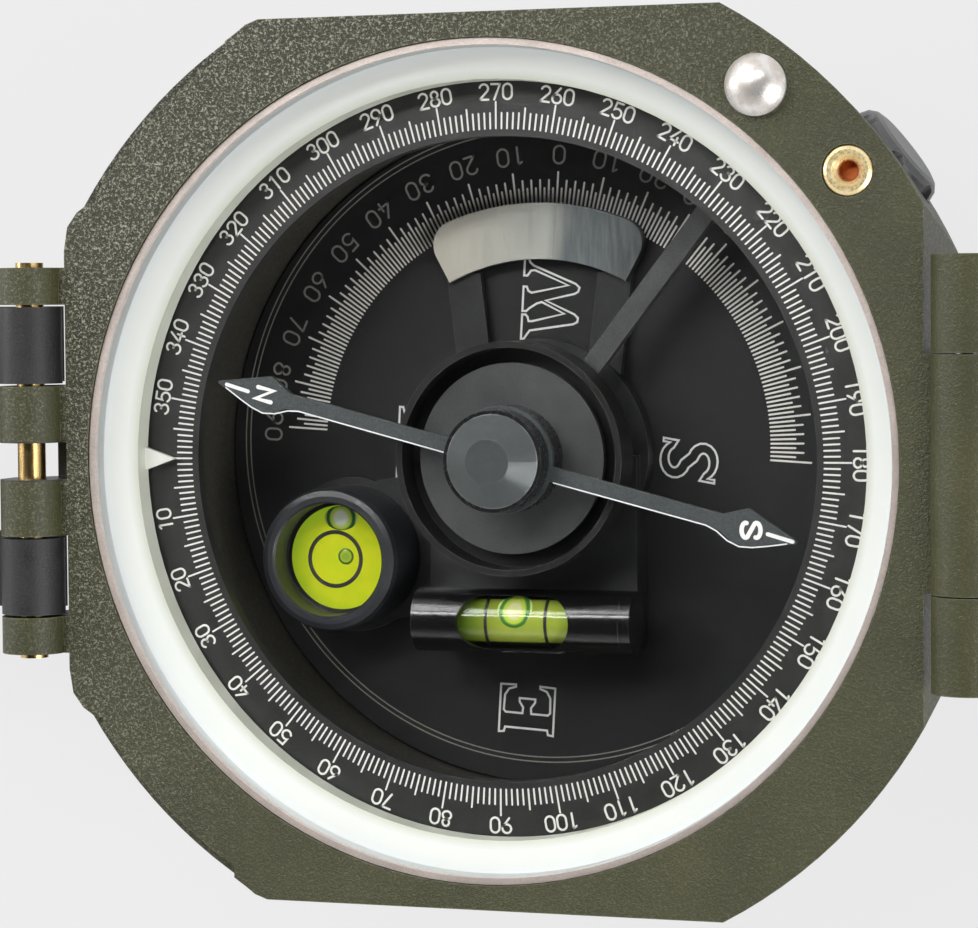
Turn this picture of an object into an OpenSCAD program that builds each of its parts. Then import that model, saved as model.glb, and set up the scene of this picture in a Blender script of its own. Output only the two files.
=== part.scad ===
// Pocket transit compass with a folding sight arm, a mirror lid, a clinometer and two spirit levels.
// Millimetres, +Z up. The origin is on the dial axis at the base. +X points to the lid, +Y to 270 degrees.

/* [Dial and azimuth ring] */
// Radius at which the azimuth graduations start
dial_r = 25.5; // [25:0.5:32]
// Plain band of the azimuth ring inside its graduations
ring_inner_band = 0.5; // [0.3:0.1:1]
// Band of the azimuth ring from its graduations to its rim
ring_outer_band = 4.9; // [4.5:0.1:6]
// Thickness of the azimuth ring
ring_t = 1.2; // [1:0.1:2]
// Number of face teeth under the azimuth ring
ring_teeth = 105; // [84:7:112]
// Number of teeth on the adjuster pinion
pinion_teeth = 7; // [6:1:8]
// Depth of the gear teeth below the azimuth ring
tooth_h = 0.9; // [0.8:0.1:1.1]
// Width of one face tooth
ring_tooth_w = 0.7; // [0.6:0.05:0.75]
// Width of one pinion tooth
pinion_tooth_w = 0.5; // [0.4:0.05:0.55]
// Radial length of the face teeth
tooth_l = 1.6; // [1.2:0.1:2]
// Height from the dial plate to the top of the azimuth ring
dial_depth = 12.4; // [12.2:0.1:16]
// Thickness of the dial plate
dial_t = 1; // [0.8:0.1:2]
// Radius of the dial screws
dial_screw_r = 0.5; // [0.4:0.05:0.6]
// Radius of the heads of the dial screws
dial_head_r = 0.9; // [0.8:0.05:1]
// Length of the dial screws below their heads
dial_screw_l = 3.2; // [2:0.1:3.8]
// Clockwise turn of the dial plate
dial_turn = 3.5; // [0:0.5:10]

/* [Case] */
// Thickness of the case floor
floor_t = 5; // [4.6:0.1:8]
// Height from the azimuth ring to the top face of the case
top_depth = 5.8; // [5.6:0.1:9]
// Wall between the glass and the two hinge sides
hinge_side_wall = 1.8; // [1.5:0.1:6]
// Wall between the glass and the two long sides
long_side_wall = 1.9; // [1.5:0.1:6]
// Reach of the corner arcs beyond the hinge sides
corner_bulge = 5; // [4.6:0.1:7]
// Height of the knee where the wall starts to draw in
knee_z = 8.5; // [6:0.5:10]
// Draw of the wall from the top face to the knee
knee_draw = 1.5; // [0.5:0.1:2]
// Draw of the wall from the top face to the base
base_draw = 4.6; // [3:0.1:5]
// Depth of the corner recess on the sight arm side
recess_depth = 2.2; // [1:0.1:3]
// Step of the corner recess
recess_step = 1.5; // [0.5:0.1:1.8]
// Distance of the recess ends from the two straight edges
recess_inset = 13.8; // [10:0.1:15]
// Length of the rounded nose at each end of a corner recess
nose_l = 3.8; // [2:0.1:5]
// Gap between the dial cavity and the azimuth graduations
cavity_gap = 1.5; // [1.2:0.1:2]
// Width of the lip that carries the azimuth ring
lip_w = 0.9; // [0.7:0.1:1.2]
// Diameter of the recess for the clinometer lever under the base
lever_recess_d = 23; // [18:1:30]
// Depth of the recess for the clinometer lever
lever_recess_h = 2.6; // [2.4:0.1:3]

/* [Glass and trim] */
// Width of the printed band that shows inside the pale spacer ring
window_band = 3.7; // [3.4:0.1:4.5]
// Height of the upright inner wall of the spacer ring
spacer_wall_h = 2; // [1.5:0.1:2.5]
// Height of the whole spacer ring
spacer_h = 3.4; // [3:0.1:4.5]
// Flat rim of the spacer ring under the glass
spacer_rim = 0.6; // [0.4:0.1:1]
// Overlap of the glass beyond the azimuth ring
glass_lap = 1.7; // [1.5:0.1:3]
// Thickness of the cover glass
glass_t = 1.4; // [1:0.1:1.6]
// Width of the retaining ring
snap_w = 0.5; // [0.4:0.05:1]
// Thickness of the retaining ring
snap_t = 0.5; // [0.3:0.05:0.6]
// Length of the index pointer
pointer_l = 2.5; // [2:0.1:3.5]
// Width of the index pointer at its foot
pointer_w = 1.8; // [1.2:0.1:3]
// Thickness of the index pointer
pointer_t = 0.5; // [0.3:0.1:0.8]

/* [Ring adjuster and lock] */
// Bearing of the adjuster shaft and of the lock screw
adjuster_angle = 37.2; // [30:0.2:40]
// Radius of the adjuster shaft
adjuster_shaft_r = 1.05; // [0.9:0.05:1.3]
// Radius of the adjuster knob
knob_r = 4.2; // [3.5:0.05:4.8]
// Depth of the knob's inner face inside the corner arc
knob_inset = 1.45; // [0.8:0.05:1.6]
// Height of the adjuster knob
knob_h = 1.6; // [1.4:0.1:4]
// Number of lobes on the adjuster knob
knob_lobes = 6; // [4:1:10]
// Turn of the knob at rest
knob_turn = 11; // [0:1:30]
// Radius of the flutes between the lobes
flute_r = 0.9; // [0.6:0.1:1.4]
// Distance of the lock bush from the dial axis beyond the glass
bush_offset = 3.5; // [3.3:0.1:4]
// Outer radius of the lock bush
bush_r = 1.9; // [1.6:0.05:2]
// Length of the lock bush
bush_l = 3.2; // [2:0.1:4]
// Thickness of the bush's dished face over the screw
bush_face_t = 1.2; // [0.8:0.1:1.6]
// Radius of the hole in the bush's face
bush_hole_r = 0.7; // [0.5:0.05:0.8]
// Radius of the lock screw
lock_screw_r = 0.95; // [0.85:0.05:1.1]

/* [Needle and lift] */
// Length of the needle from its centre to a tip
needle_l = 24.1; // [20:0.1:24.5]
// Width of the needle bar
needle_w = 1.2; // [0.8:0.05:2]
// Width of the leaf at each end of the needle
leaf_w = 3.1; // [2:0.1:4]
// Distance from the tip to the widest place of the leaf
leaf_l = 4.2; // [3:0.1:6]
// Length over which the leaf narrows to the bar
leaf_neck = 1.9; // [1:0.1:3]
// Thickness of the needle
needle_t = 0.6; // [0.4:0.1:0.8]
// Depth of the needle below the top of the azimuth ring
needle_drop = 0.4; // [0.2:0.1:0.6]
// Bearing of the needle's north tip, in degrees
needle_turn = 165.4; // [0:0.1:360]
// Radius of the needle hub
hub_r = 3.95; // [3:0.05:4.5]
// Radius of the flange under the needle hub
hub_flange_r = 4.2; // [4:0.05:5]
// Height of the needle hub above the azimuth ring
hub_rise = 1.7; // [1:0.1:2]
// Foot radius of the needle cap
cap_r = 3.65; // [3:0.05:4]
// Top radius of the needle cap
cap_top_r = 1.75; // [1:0.05:2.5]
// Height of the needle cap
cap_h = 1.4; // [1:0.1:1.5]
// Radius of the magnet disc
magnet_r = 7.5; // [6:0.1:9]
// Thickness of the magnet disc
magnet_t = 0.8; // [0.5:0.1:1.2]
// Depth of the magnet disc below the azimuth ring
magnet_drop = 3.4; // [3:0.1:4]
// Gap between the magnet disc and the lifting cup
cup_gap = 1.2; // [0.8:0.1:1.5]
// Wall of the lifting cup
cup_wall = 0.5; // [0.4:0.1:1]
// Rise of the cup rim above the magnet disc
cup_lip = 1; // [0.5:0.1:1.3]
// Depth of the cup floor below the magnet disc
cup_floor_drop = 1.1; // [0.8:0.1:1.4]
// Thickness of the cup floor
cup_floor_t = 0.6; // [0.4:0.1:1]
// Radius of the pivot post
post_r = 1.3; // [1:0.05:1.6]
// Radius of the jewel bearing
jewel_r = 1.2; // [0.8:0.05:1.4]
// Height of the jewel bearing
jewel_h = 0.8; // [0.7:0.05:1]
// Thickness of the hub over the jewel bearing
jewel_cover = 0.2; // [0.15:0.05:0.4]
// Length of the pivot post inside the clinometer shaft
post_root_l = 3; // [2:0.1:4]
// Bearing of the lift pin and of its lever
lift_angle = 52.2; // [50:0.2:60]
// Distance of the lift pin from the edge of the glass
lift_offset = 3.2; // [3:0.1:3.6]
// Radius of the lift pin
lift_pin_r = 2.3; // [1.8:0.05:2.4]
// Rise of the domed end of the lift pin above the case
lift_dome_h = 1.7; // [1:0.1:2]
// Radius of the stem below the lift pin
lift_stem_r = 1; // [0.8:0.05:1.2]
// Distance of the lever's cross pin from the dial cavity
lifter_pivot_in = 1.5; // [1.2:0.1:2]
// Depth of the spring chamber below the azimuth ring's teeth
chamber_drop = 2; // [1.5:0.1:2.5]
// Depth of the lift pin's shoulder below the top face
lift_shoulder_drop = 4; // [3:0.1:5]
// Travel of the lift pin
lift_travel = 0.4; // [0.3:0.1:0.5]
// Lift of the cup and the needle when the pin is pressed
cup_lift = 0.3; // [0.2:0.05:0.35]
// Reach of the lifter lever under the cup
lifter_reach = 3; // [2:0.1:4]
// Width of the lifter lever
lifter_w = 1.6; // [1.2:0.1:2.4]
// Thickness of the lifter lever
lifter_t = 1.2; // [0.8:0.1:1.3]
// Radius of the lever's cross pin
lifter_pin_r = 0.4; // [0.3:0.05:0.45]
// Length of the lever's cross pin
lifter_pin_l = 4.4; // [3.5:0.1:6]
// Wire diameter of the lift spring
spring_wire = 0.35; // [0.2:0.05:0.4]
// Turns of the lift spring
spring_turns = 5; // [3:1:7]

/* [Clinometer] */
// Radius of the clinometer shaft
clino_shaft_r = 2; // [1.8:0.05:2.6]
// Wall of the floor bush
clino_bush_wall = 1.35; // [1:0.05:2]
// Outer radius of the vernier plate
vernier_r = 20.2; // [19:0.1:21]
// Inner radius of the vernier plate
vernier_inner_r = 15.7; // [14:0.1:16.5]
// Half angle of the vernier plate
vernier_half = 28; // [20:1:30]
// Radius of the vernier plate's outer corners
vernier_corner_r = 2; // [0.5:0.1:2.2]
// Thickness of the vernier plate
vernier_t = 0.5; // [0.4:0.1:1]
// Thickness of the clinometer arm
arm_plate_t = 0.8; // [0.6:0.1:1.2]
// Gap between the dial plate and the clinometer arm
arm_plate_gap = 0.3; // [0.2:0.1:0.6]
// Half width of the block that carries the tube level
block_half_w = 8.6; // [8:0.1:10]
// Height of the block that carries the tube level
block_h = 2.1; // [1.5:0.1:2.2]
// Radius of the clinometer hub
clino_hub_r = 9.3; // [8:0.1:10]
// Outer radius of the tube level
tube_r = 2.55; // [2:0.05:2.8]
// Length of the tube level's housing
tube_l = 17; // [14:0.1:18]
// Wall of the tube level's housing
tube_wall = 0.4; // [0.3:0.05:0.6]
// Wall of the tube level's vial
tube_vial_wall = 0.4; // [0.3:0.05:0.6]
// Distance of the tube level from the dial axis
tube_y = 13; // [12.9:0.1:14.5]
// Height of the tube level's axis above the dial plate
tube_rise = 6.4; // [6.2:0.1:6.8]
// Length of the tube level's window
tube_window_l = 9.2; // [6:0.1:11]
// Width of the tube level's window
tube_window_w = 4.2; // [3:0.1:4.4]
// Sideways offset of the window
tube_window_x = -0.1; // [-2:0.1:2]
// Length of the end block of the tube level
tube_block_l = 0.9; // [0.5:0.1:2.5]
// Outer radius of the round level
round_r = 5.75; // [5:0.05:6]
// Wall of the round level's housing
round_wall = 1.2; // [0.8:0.05:1.6]
// Height of the round level's top above the dial plate
round_h = 7.4; // [6:0.1:8]
// Depth of the round level's lens below its rim
round_recess = 2.6; // [1:0.1:3]
// Thickness of the round level's lens
round_lens_t = 0.8; // [0.5:0.1:1]
// Depth of the round level's liquid
round_liquid_h = 1.6; // [1:0.1:2]
// Bearing of the round level
round_angle = 207.6; // [200:0.2:215]
// Gap between the round level and the dial cavity
round_gap = 3.2; // [1:0.1:3.5]
// Length of the finger lever under the base
finger_l = 10; // [8:0.1:10.8]
// Width of the finger lever
finger_w = 4; // [3:0.1:6]
// Thickness of the finger lever
finger_t = 1.6; // [1.2:0.1:1.8]
// Radius of the shaft's neck inside the finger lever
finger_neck_r = 1.4; // [1.2:0.05:1.6]
// Radius of the finger lever's screw
finger_screw_r = 0.7; // [0.5:0.05:0.8]
// Radius of the rivets under the vernier plate
rivet_r = 0.5; // [0.4:0.05:0.6]

/* [Sight arm] */
// Radius of the sight arm's hinge barrel
arm_barrel_r = 2.5; // [2:0.05:3]
// Radius of the sight arm's brass pin
arm_pin_r = 1.1; // [0.8:0.05:1.4]
// Gap between the sight arm's barrel and the case
arm_barrel_gap = 0.5; // [0.3:0.1:1]
// Height of the arm's lugs on the side of the case
arm_lug_h = 7.5; // [5:0.1:9]
// Half width of the gap in the middle of the hinge
arm_gap_half = 1.45; // [1:0.1:2.5]
// Distance from the middle to the inner end of an arm knuckle
arm_knuckle_in = 6; // [5:0.1:7]
// Distance from the middle to the outer end of an arm knuckle
arm_knuckle_out = 12.2; // [11:0.1:13]
// Distance from the middle to the end of the barrel
arm_barrel_half = 15.2; // [15:0.1:17]
// Stand-out of the pin at each end
arm_pin_proud = 0.4; // [0:0.1:1]
// Length of the sight arm beyond its hinge
arm_l = 74; // [60:1:90]
// Width of the sight arm at its far end
arm_tip_w = 15; // [13:0.5:20]
// Thickness of the sight arm
arm_t = 1.5; // [1.2:0.1:2]
// Length of the notch between the arm's two lugs
arm_notch_l = 6.6; // [5:0.1:10]
// Width of the sighting slot in the arm
arm_slot_w = 2.4; // [1.5:0.1:4]
// Length of the sighting slot in the arm
arm_slot_l = 34; // [20:1:36]
// Length of the peep sight leaf
peep_l = 14; // [10:0.5:18]
// Width of the peep sight leaf
peep_w = 8; // [6:0.5:10]
// Thickness of the peep sight leaf
peep_t = 1; // [0.8:0.1:1.2]
// Radius of the peep sight's barrel
peep_barrel_r = 1.1; // [0.9:0.05:1.4]
// Radius of the peep hole
peep_hole_r = 0.9; // [0.5:0.1:1.5]
// Radius of the peep sight's pin
peep_pin_r = 0.5; // [0.3:0.05:0.6]

/* [Lid] */
// Radius of the lid's hinge barrel
lid_barrel_r = 2.75; // [2.5:0.05:3.5]
// Radius of the lid's hinge pin
lid_pin_r = 1.2; // [0.8:0.05:1.5]
// Gap between the lid's barrel and the case
lid_barrel_gap = 0.55; // [0.2:0.1:1]
// Height of the lid's lug on the side of the case
lid_lug_h = 9; // [6:0.1:10]
// Sideways offset of the lid's hinge
lid_hinge_y = -0.5; // [-1:0.1:1]
// Half length of the case's knuckle
lid_knuckle_half = 8.7; // [7:0.1:10]
// Half length of the lid's barrel
lid_barrel_half = 15.9; // [14:0.1:17]
// Height of the lid
lid_h = 5.5; // [5:0.1:8]
// Gap between the closed lid and the case
lid_gap = 0.3; // [0.2:0.1:0.6]
// Radius of the mirror
mirror_r = 25.6; // [22:0.1:26]
// Thickness of the mirror
mirror_t = 1.2; // [1:0.1:1.5]
// Width of the mirror's bezel ring
bezel_w = 1; // [0.6:0.1:1.4]
// Height of the mirror's bezel ring
bezel_h = 0.5; // [0.3:0.1:0.8]
// Length of the sight window in the lid
window_l = 15; // [10:0.5:18]
// Width of the sight window in the lid
window_w = 5; // [4.6:0.1:6]
// Distance of the sight window from the mirror's edge
window_edge = 3; // [2:0.1:5]
// Width of the lid's sight leaf
leaf_sight_w = 6; // [4:0.1:8]
// Thickness of the lid's sight leaf
leaf_sight_t = 1; // [0.8:0.1:1.2]
// Radius of the lid sight's barrel
leaf_barrel_r = 0.9; // [0.7:0.05:1.1]
// Radius of the lid sight's pin
leaf_pin_r = 0.4; // [0.3:0.05:0.5]
// Thickness of the lid's outer wall
lid_wall = 1.6; // [1.2:0.1:2.5]

/* [Fits] */
// Radial clearance of parts that turn or slide
run_fit = 0.05; // [0.02:0.01:0.1]
// Radial clearance of parts that are fixed together
seat_fit = 0.02; // [0.01:0.01:0.05]
// Side clearance between moving parts
side_gap = 0.2; // [0.1:0.05:0.4]
// Clearance of parts that pass each other
free_gap = 0.4; // [0.3:0.05:0.6]

/* [Hidden] */
$fn = 96;
cut = 1;

// Heights above the base
dial_bottom_z = floor_t;
dial_z = dial_bottom_z + dial_t;
ring_z = dial_z + dial_depth;
ring_bottom_z = ring_z - ring_t;
tooth_bottom_z = ring_bottom_z - tooth_h;
case_h = ring_z + top_depth;
ledge_z = ring_z + 0.75 * free_gap;
spacer_top_z = ledge_z + spacer_h;
glass_top_z = spacer_top_z + glass_t;
snap_top_z = glass_top_z + snap_t;

// Radii about the dial axis
ring_r = dial_r + ring_outer_band;
ring_inner_r = dial_r - ring_inner_band;
ring_bore_r = ring_r + run_fit;
cavity_r = dial_r + cavity_gap;
lip_r = cavity_r + lip_w;
glass_r = ring_r + glass_lap;
glass_bore_r = glass_r + run_fit;
spacer_inner_r = dial_r + window_band;
half_x = glass_bore_r + hinge_side_wall;
half_y = glass_bore_r + long_side_wall;
corner_r = half_x + corner_bulge;
tooth_outer_r = ring_r - side_gap;
tooth_inner_r = tooth_outer_r - tooth_l;
tooth_mid_r = tooth_inner_r + tooth_l / 2;

// Adjuster gear
pinion_pitch_r = tooth_mid_r * pinion_teeth / ring_teeth;
adjuster_z = ring_bottom_z - tooth_h / 2 - pinion_pitch_r;
pinion_tip_r = pinion_pitch_r + tooth_h / 2 - 2 * run_fit;
pinion_root_r = pinion_pitch_r - tooth_h / 2 - 2 * run_fit;
pocket_r = pinion_tip_r + side_gap;
pocket_end_r = ring_bore_r + side_gap;
knob_face_r = corner_r - knob_inset;
flute_depth = 0.6 * flute_r;
bush_pos_r = glass_bore_r + bush_offset;

// Needle, cup and lift
needle_top_z = ring_z - needle_drop;
needle_bottom_z = needle_top_z - needle_t;
magnet_top_z = ring_z - magnet_drop;
magnet_bottom_z = magnet_top_z - magnet_t;
cup_inner_r = magnet_r + cup_gap;
cup_r = cup_inner_r + cup_wall;
cup_rim_z = magnet_top_z + cup_lip;
cup_floor_z = magnet_bottom_z - cup_floor_drop;
cup_bottom_z = cup_floor_z - cup_floor_t;
hub_top_z = ring_z + hub_rise;
jewel_top_z = hub_top_z - jewel_cover;
jewel_bottom_z = jewel_top_z - jewel_h;
sleeve_r = post_r + free_gap + 0.6;
jewel_pit = 0.4;
post_tip_z = jewel_bottom_z + jewel_pit - run_fit;
post_cone_h = 2;
lift_pos_r = glass_bore_r + lift_offset;
lifter_pivot_r = cavity_r + lifter_pivot_in;
lifter_tip_r = cup_r - lifter_reach;
lifter_end_r = lift_pos_r + lift_stem_r;
nose_rise = lift_travel * (lifter_pivot_r - lifter_tip_r) / (lift_pos_r - lifter_pivot_r);
lifter_top_z = cup_bottom_z - (nose_rise - cup_lift) - side_gap / 2;
lifter_bottom_z = lifter_top_z - lifter_t;
lifter_mid_z = (lifter_bottom_z + lifter_top_z) / 2;
lifter_swing = free_gap + lift_travel;
chamber_floor_z = tooth_bottom_z - chamber_drop;
lift_shoulder_z = case_h - lift_shoulder_drop;

// Clinometer
arm_plate_z = dial_z + arm_plate_gap;
arm_plate_top_z = arm_plate_z + arm_plate_t;
block_top_z = arm_plate_top_z + block_h;
rivet_top_z = arm_plate_top_z + 0.6 * vernier_t;
vernier_corner_at = vernier_r - vernier_corner_r;
vernier_arc_half = vernier_half - asin(vernier_corner_r / vernier_corner_at);
vernier_outline = concat(
  [[0, 0]],
  arc_points(vernier_corner_at * [sin(vernier_arc_half), cos(vernier_arc_half)], vernier_corner_r,
             -vernier_half, 90 - vernier_arc_half, 8),
  arc_points([0, 0], vernier_r, 90 - vernier_arc_half * 0.96, 90 + vernier_arc_half * 0.96, 24),
  arc_points(vernier_corner_at * [-sin(vernier_arc_half), cos(vernier_arc_half)], vernier_corner_r,
             90 + vernier_arc_half, 180 + vernier_half, 8)
);
tube_z = dial_z + tube_rise;
round_pos_r = cavity_r - round_gap - round_r;
round_x = round_pos_r * cos(round_angle);
round_y = round_pos_r * sin(round_angle);
round_top_z = dial_z + round_h;
round_lens_top_z = round_top_z - round_recess;
round_liquid_top_z = round_lens_top_z - round_lens_t;
round_bore_r = round_r - round_wall;
round_liquid_r = round_bore_r - 0.3;
clino_bush_r = clino_shaft_r + run_fit + clino_bush_wall;
finger_top_z = lever_recess_h - side_gap;
finger_bottom_z = finger_top_z - finger_t;
finger_neck_z = finger_top_z - 0.6 * finger_t;
finger_head_h = 0.6;
bush_lip_w = 0.35;
bush_lip_h = 0.12;
post_root_z = cup_bottom_z - free_gap - post_root_l;

// Hinges
arm_x = -(half_x + arm_barrel_gap + arm_barrel_r);
lid_x = half_x + lid_barrel_gap + lid_barrel_r;
hinge_z = case_h;
lid_bottom_z = case_h + lid_gap;
lid_top_z = lid_bottom_z + lid_h;
arm_plate_drop = lid_top_z + lid_gap - hinge_z;
arm_top_z = hinge_z - arm_plate_drop;
riser_in = 0.6;
riser_t = 1.8;
arm_end_x = arm_x - arm_l;
arm_slot_gap = 5;
peep_z = arm_top_z - peep_barrel_r;
peep_corner_r = 2;
peep_hole_in = 3;
peep_slit_in = 3;
peep_slit_end = 2.5;
peep_slit_w = 0.6;
lid_edge = 1;
leaf_slit_w = 1.2;
leaf_hinge_x = -(half_x - leaf_barrel_r - free_gap);
leaf_hinge_z = lid_bottom_z + leaf_barrel_r;
leaf_sight_l = -leaf_hinge_x - mirror_r - bezel_w - side_gap - seat_fit;
mirror_ledge = 1.5;
leaf_pin_out = 1.9;
window_x = mirror_r - window_edge - window_w / 2;

olive = [0.30, 0.31, 0.22];
black = [0.09, 0.09, 0.09];
brass = [0.80, 0.62, 0.28];
steel = [0.72, 0.72, 0.72];

// Cylinder between two heights
module rod(r, z0, z1) {
  translate([0, 0, z0]) cylinder(r = r, h = z1 - z0);
}

// Tube between two heights
module tube(r_out, r_in, z0, z1) {
  difference() {
    rod(r_out, z0, z1);
    rod(r_in, z0 - cut, z1 + cut);
  }
}

// Cylinder along Y between two places
module rod_y(r, y0, y1) {
  translate([0, y0, 0]) rotate([-90, 0, 0]) cylinder(r = r, h = y1 - y0);
}

// Cylinder along X between two places
module rod_x(r, x0, x1) {
  translate([x0, 0, 0]) rotate([0, 90, 0]) cylinder(r = r, h = x1 - x0);
}

// Box from its lowest to its highest corner
module box(low, high) {
  translate(low) cube(high - low);
}

// Outline in the XZ plane, extruded between two places on Y
module plate_y(points, y0, y1) {
  translate([0, y1, 0]) rotate([90, 0, 0]) linear_extrude(y1 - y0) polygon(points);
}

// Puts its children on a bearing, at a distance from the dial axis
module at_bearing(angle, distance) {
  rotate([0, 0, angle]) translate([distance, 0, 0]) children();
}

// Swings its children from the closed to the open place of the lid
module lid_opened() {
  translate([lid_x, 0, hinge_z]) rotate([0, 180, 0]) translate([-lid_x, 0, -hinge_z]) children();
}

// Outer shape that the case and the lid share, between two heights
module square_round(r, z0, z1) {
  intersection() {
    rod(r, z0, z1);
    box([-half_x, -half_y, z0], [half_x, half_y, z1]);
  }
}

module case_shell() {
  intersection() {
    rotate_extrude()
      polygon([
        [0, 0], [corner_r - base_draw, 0], [corner_r - knee_draw, knee_z], [corner_r, case_h], [0, case_h]
      ]);
    box([-half_x, -half_y, 0], [half_x, half_y, case_h]);
  }
}

// Rounded noses where a corner recess ends, as cuts in plan
module nose_cuts() {
  side_y = half_y - recess_inset;
  top_x = -(half_x - recess_inset);
  polygon([
    [-half_x - cut, side_y - nose_l], [-half_x, side_y - nose_l],
    [-half_x + 0.08 * nose_l, side_y - 0.5 * nose_l],
    [-half_x + 0.3 * nose_l, side_y - 0.2 * nose_l], [-half_x + 0.55 * nose_l, side_y - 0.03 * nose_l],
    [-half_x + 0.75 * nose_l, side_y], [-half_x + 0.75 * nose_l, side_y + cut], [-half_x - cut, side_y + cut]
  ]);
  polygon([
    [top_x - cut, half_y + cut], [top_x - cut, half_y - 0.42 * nose_l], [top_x, half_y - 0.42 * nose_l],
    [top_x + 0.25 * nose_l, half_y - 0.25 * nose_l], [top_x + 0.45 * nose_l, half_y - 0.1 * nose_l],
    [top_x + 0.72 * nose_l, half_y], [top_x + 0.72 * nose_l, half_y + cut]
  ]);
}

// Steps at the two corners on the sight arm side
module corner_recess() {
  for (flip = [0, 1])
    mirror([0, flip, 0])
      translate([0, 0, case_h - recess_depth]) linear_extrude(recess_depth + cut) nose_cuts();
  for (side = [-1, 1])
    difference() {
      box([-corner_r - cut, side > 0 ? half_y - recess_inset : -corner_r - cut, case_h - recess_depth],
          [-(half_x - recess_inset), side > 0 ? corner_r + cut : -(half_y - recess_inset), case_h + cut]);
      rod(corner_r - recess_step, 0, case_h + 2 * cut);
    }
}

// Lugs of the two hinges on the case
module arm_lugs() {
  lug = [[arm_x - arm_barrel_r, hinge_z], [arm_x - arm_barrel_r, hinge_z - 0.8 * arm_barrel_r],
         [-half_x, hinge_z - arm_lug_h], [-half_x + cut, hinge_z - arm_lug_h], [-half_x + cut, hinge_z]];
  for (side = [-1, 1])
    for (span = [[arm_gap_half, arm_knuckle_in - side_gap / 2],
                 [arm_knuckle_out + side_gap / 2, arm_barrel_half]]) {
      y0 = side > 0 ? span[0] : -span[1];
      y1 = side > 0 ? span[1] : -span[0];
      plate_y(lug, y0, y1);
      translate([arm_x, 0, hinge_z]) rod_y(arm_barrel_r, y0, y1);
    }
  plate_y([[-half_x, hinge_z - arm_lug_h], [arm_x + arm_pin_r, hinge_z - arm_lug_h * 2 / 3],
           [arm_x + arm_pin_r, hinge_z - arm_lug_h / 3], [-half_x, hinge_z - arm_lug_h / 3],
           [-half_x + cut, hinge_z - arm_lug_h]], -arm_gap_half, arm_gap_half);
}

module lid_lug() {
  lug = [[lid_x + lid_barrel_r, hinge_z], [lid_x + lid_barrel_r, hinge_z - 0.7 * lid_barrel_r],
         [half_x, hinge_z - lid_lug_h], [half_x - cut, hinge_z - lid_lug_h], [half_x - cut, hinge_z]];
  y0 = lid_hinge_y - lid_knuckle_half;
  y1 = lid_hinge_y + lid_knuckle_half;
  plate_y(lug, y0, y1);
  translate([lid_x, 0, hinge_z]) rod_y(lid_barrel_r, y0, y1);
}

// Hollow of the case: cavity, gear groove, ring bore and glass seat
module case_hollow() {
  rod(cavity_r, dial_bottom_z, case_h + cut);
  tube(ring_bore_r, lip_r, tooth_bottom_z - free_gap, ring_bottom_z);
  rod(ring_bore_r, ring_bottom_z - run_fit, case_h + cut);
  rod(glass_bore_r, ledge_z, case_h + cut);
  rod(lever_recess_d / 2, -cut, lever_recess_h);
  rod(clino_bush_r + seat_fit, -cut, dial_z);
}

module adjuster_holes() {
  at_bearing(adjuster_angle, 0) {
    translate([0, 0, adjuster_z]) {
      rod_x(pocket_r, ring_inner_r, pocket_end_r);
      rod_x(adjuster_shaft_r + run_fit, pocket_end_r - cut, corner_r + cut);
      rod_x(knob_r + side_gap, knob_face_r - side_gap, corner_r + cut);
    }
    translate([bush_pos_r, 0, 0]) {
      rod(bush_r + seat_fit, case_h - bush_l, case_h + cut);
      rod(lock_screw_r + seat_fit, adjuster_z, case_h);
    }
  }
}

module lift_holes() {
  at_bearing(lift_angle, 0) {
    translate([lift_pos_r, 0, 0]) {
      rod(lift_pin_r + run_fit, chamber_floor_z, case_h + cut);
      rod(lift_stem_r + run_fit, lifter_bottom_z, case_h);
    }
    box([cavity_r - cut, -lifter_w / 2 - side_gap, lifter_bottom_z - lifter_swing],
        [lifter_end_r + free_gap, lifter_w / 2 + side_gap, lifter_top_z + lifter_swing]);
    translate([lifter_pivot_r, 0, lifter_mid_z])
      rod_y(lifter_pin_r + seat_fit, -lifter_pin_l / 2, lifter_pin_l / 2);
  }
}

// Places of the three dial screws, which the azimuth ring covers
module at_dial_screws() {
  for (angle = [-60, 0, 62]) at_bearing(angle - dial_turn, cavity_r - 1.5 * dial_head_r) children();
}

module case_body() {
  color(olive)
  difference() {
    union() {
      case_shell();
      arm_lugs();
      lid_lug();
    }
    corner_recess();
    case_hollow();
    adjuster_holes();
    lift_holes();
    at_dial_screws() rod(dial_screw_r + seat_fit, dial_z - dial_screw_l - seat_fit, dial_z);
    translate([arm_x, 0, hinge_z]) rod_y(arm_pin_r + seat_fit, -corner_r, corner_r);
    translate([lid_x, 0, hinge_z]) rod_y(lid_pin_r + seat_fit, -corner_r, corner_r);
  }
}

module spacer_ring() {
  wall_top_z = ledge_z + spacer_wall_h;
  color([0.88, 0.90, 0.88])
  rotate_extrude()
    polygon([
      [spacer_inner_r, ledge_z], [glass_r, ledge_z], [glass_r, spacer_top_z],
      [glass_r - spacer_rim, spacer_top_z], [spacer_inner_r, wall_top_z]
    ]);
}

module cover_glass() {
  color([0.85, 0.90, 0.90, 0.3]) rod(glass_r, spacer_top_z, glass_top_z);
}

module retaining_ring() {
  color([0.78, 0.70, 0.66])
  tube(glass_r, glass_r - snap_w, glass_top_z, snap_top_z);
}

module index_pointer() {
  foot = -spacer_inner_r;
  color("white")
  intersection() {
    translate([0, 0, ledge_z])
      linear_extrude(pointer_t)
        polygon([[foot - cut, -pointer_w / 2], [foot, -pointer_w / 2], [foot + pointer_l, 0],
                 [foot, pointer_w / 2], [foot - cut, pointer_w / 2]]);
    rod(spacer_inner_r, ledge_z, ledge_z + pointer_t);
  }
}

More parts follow.
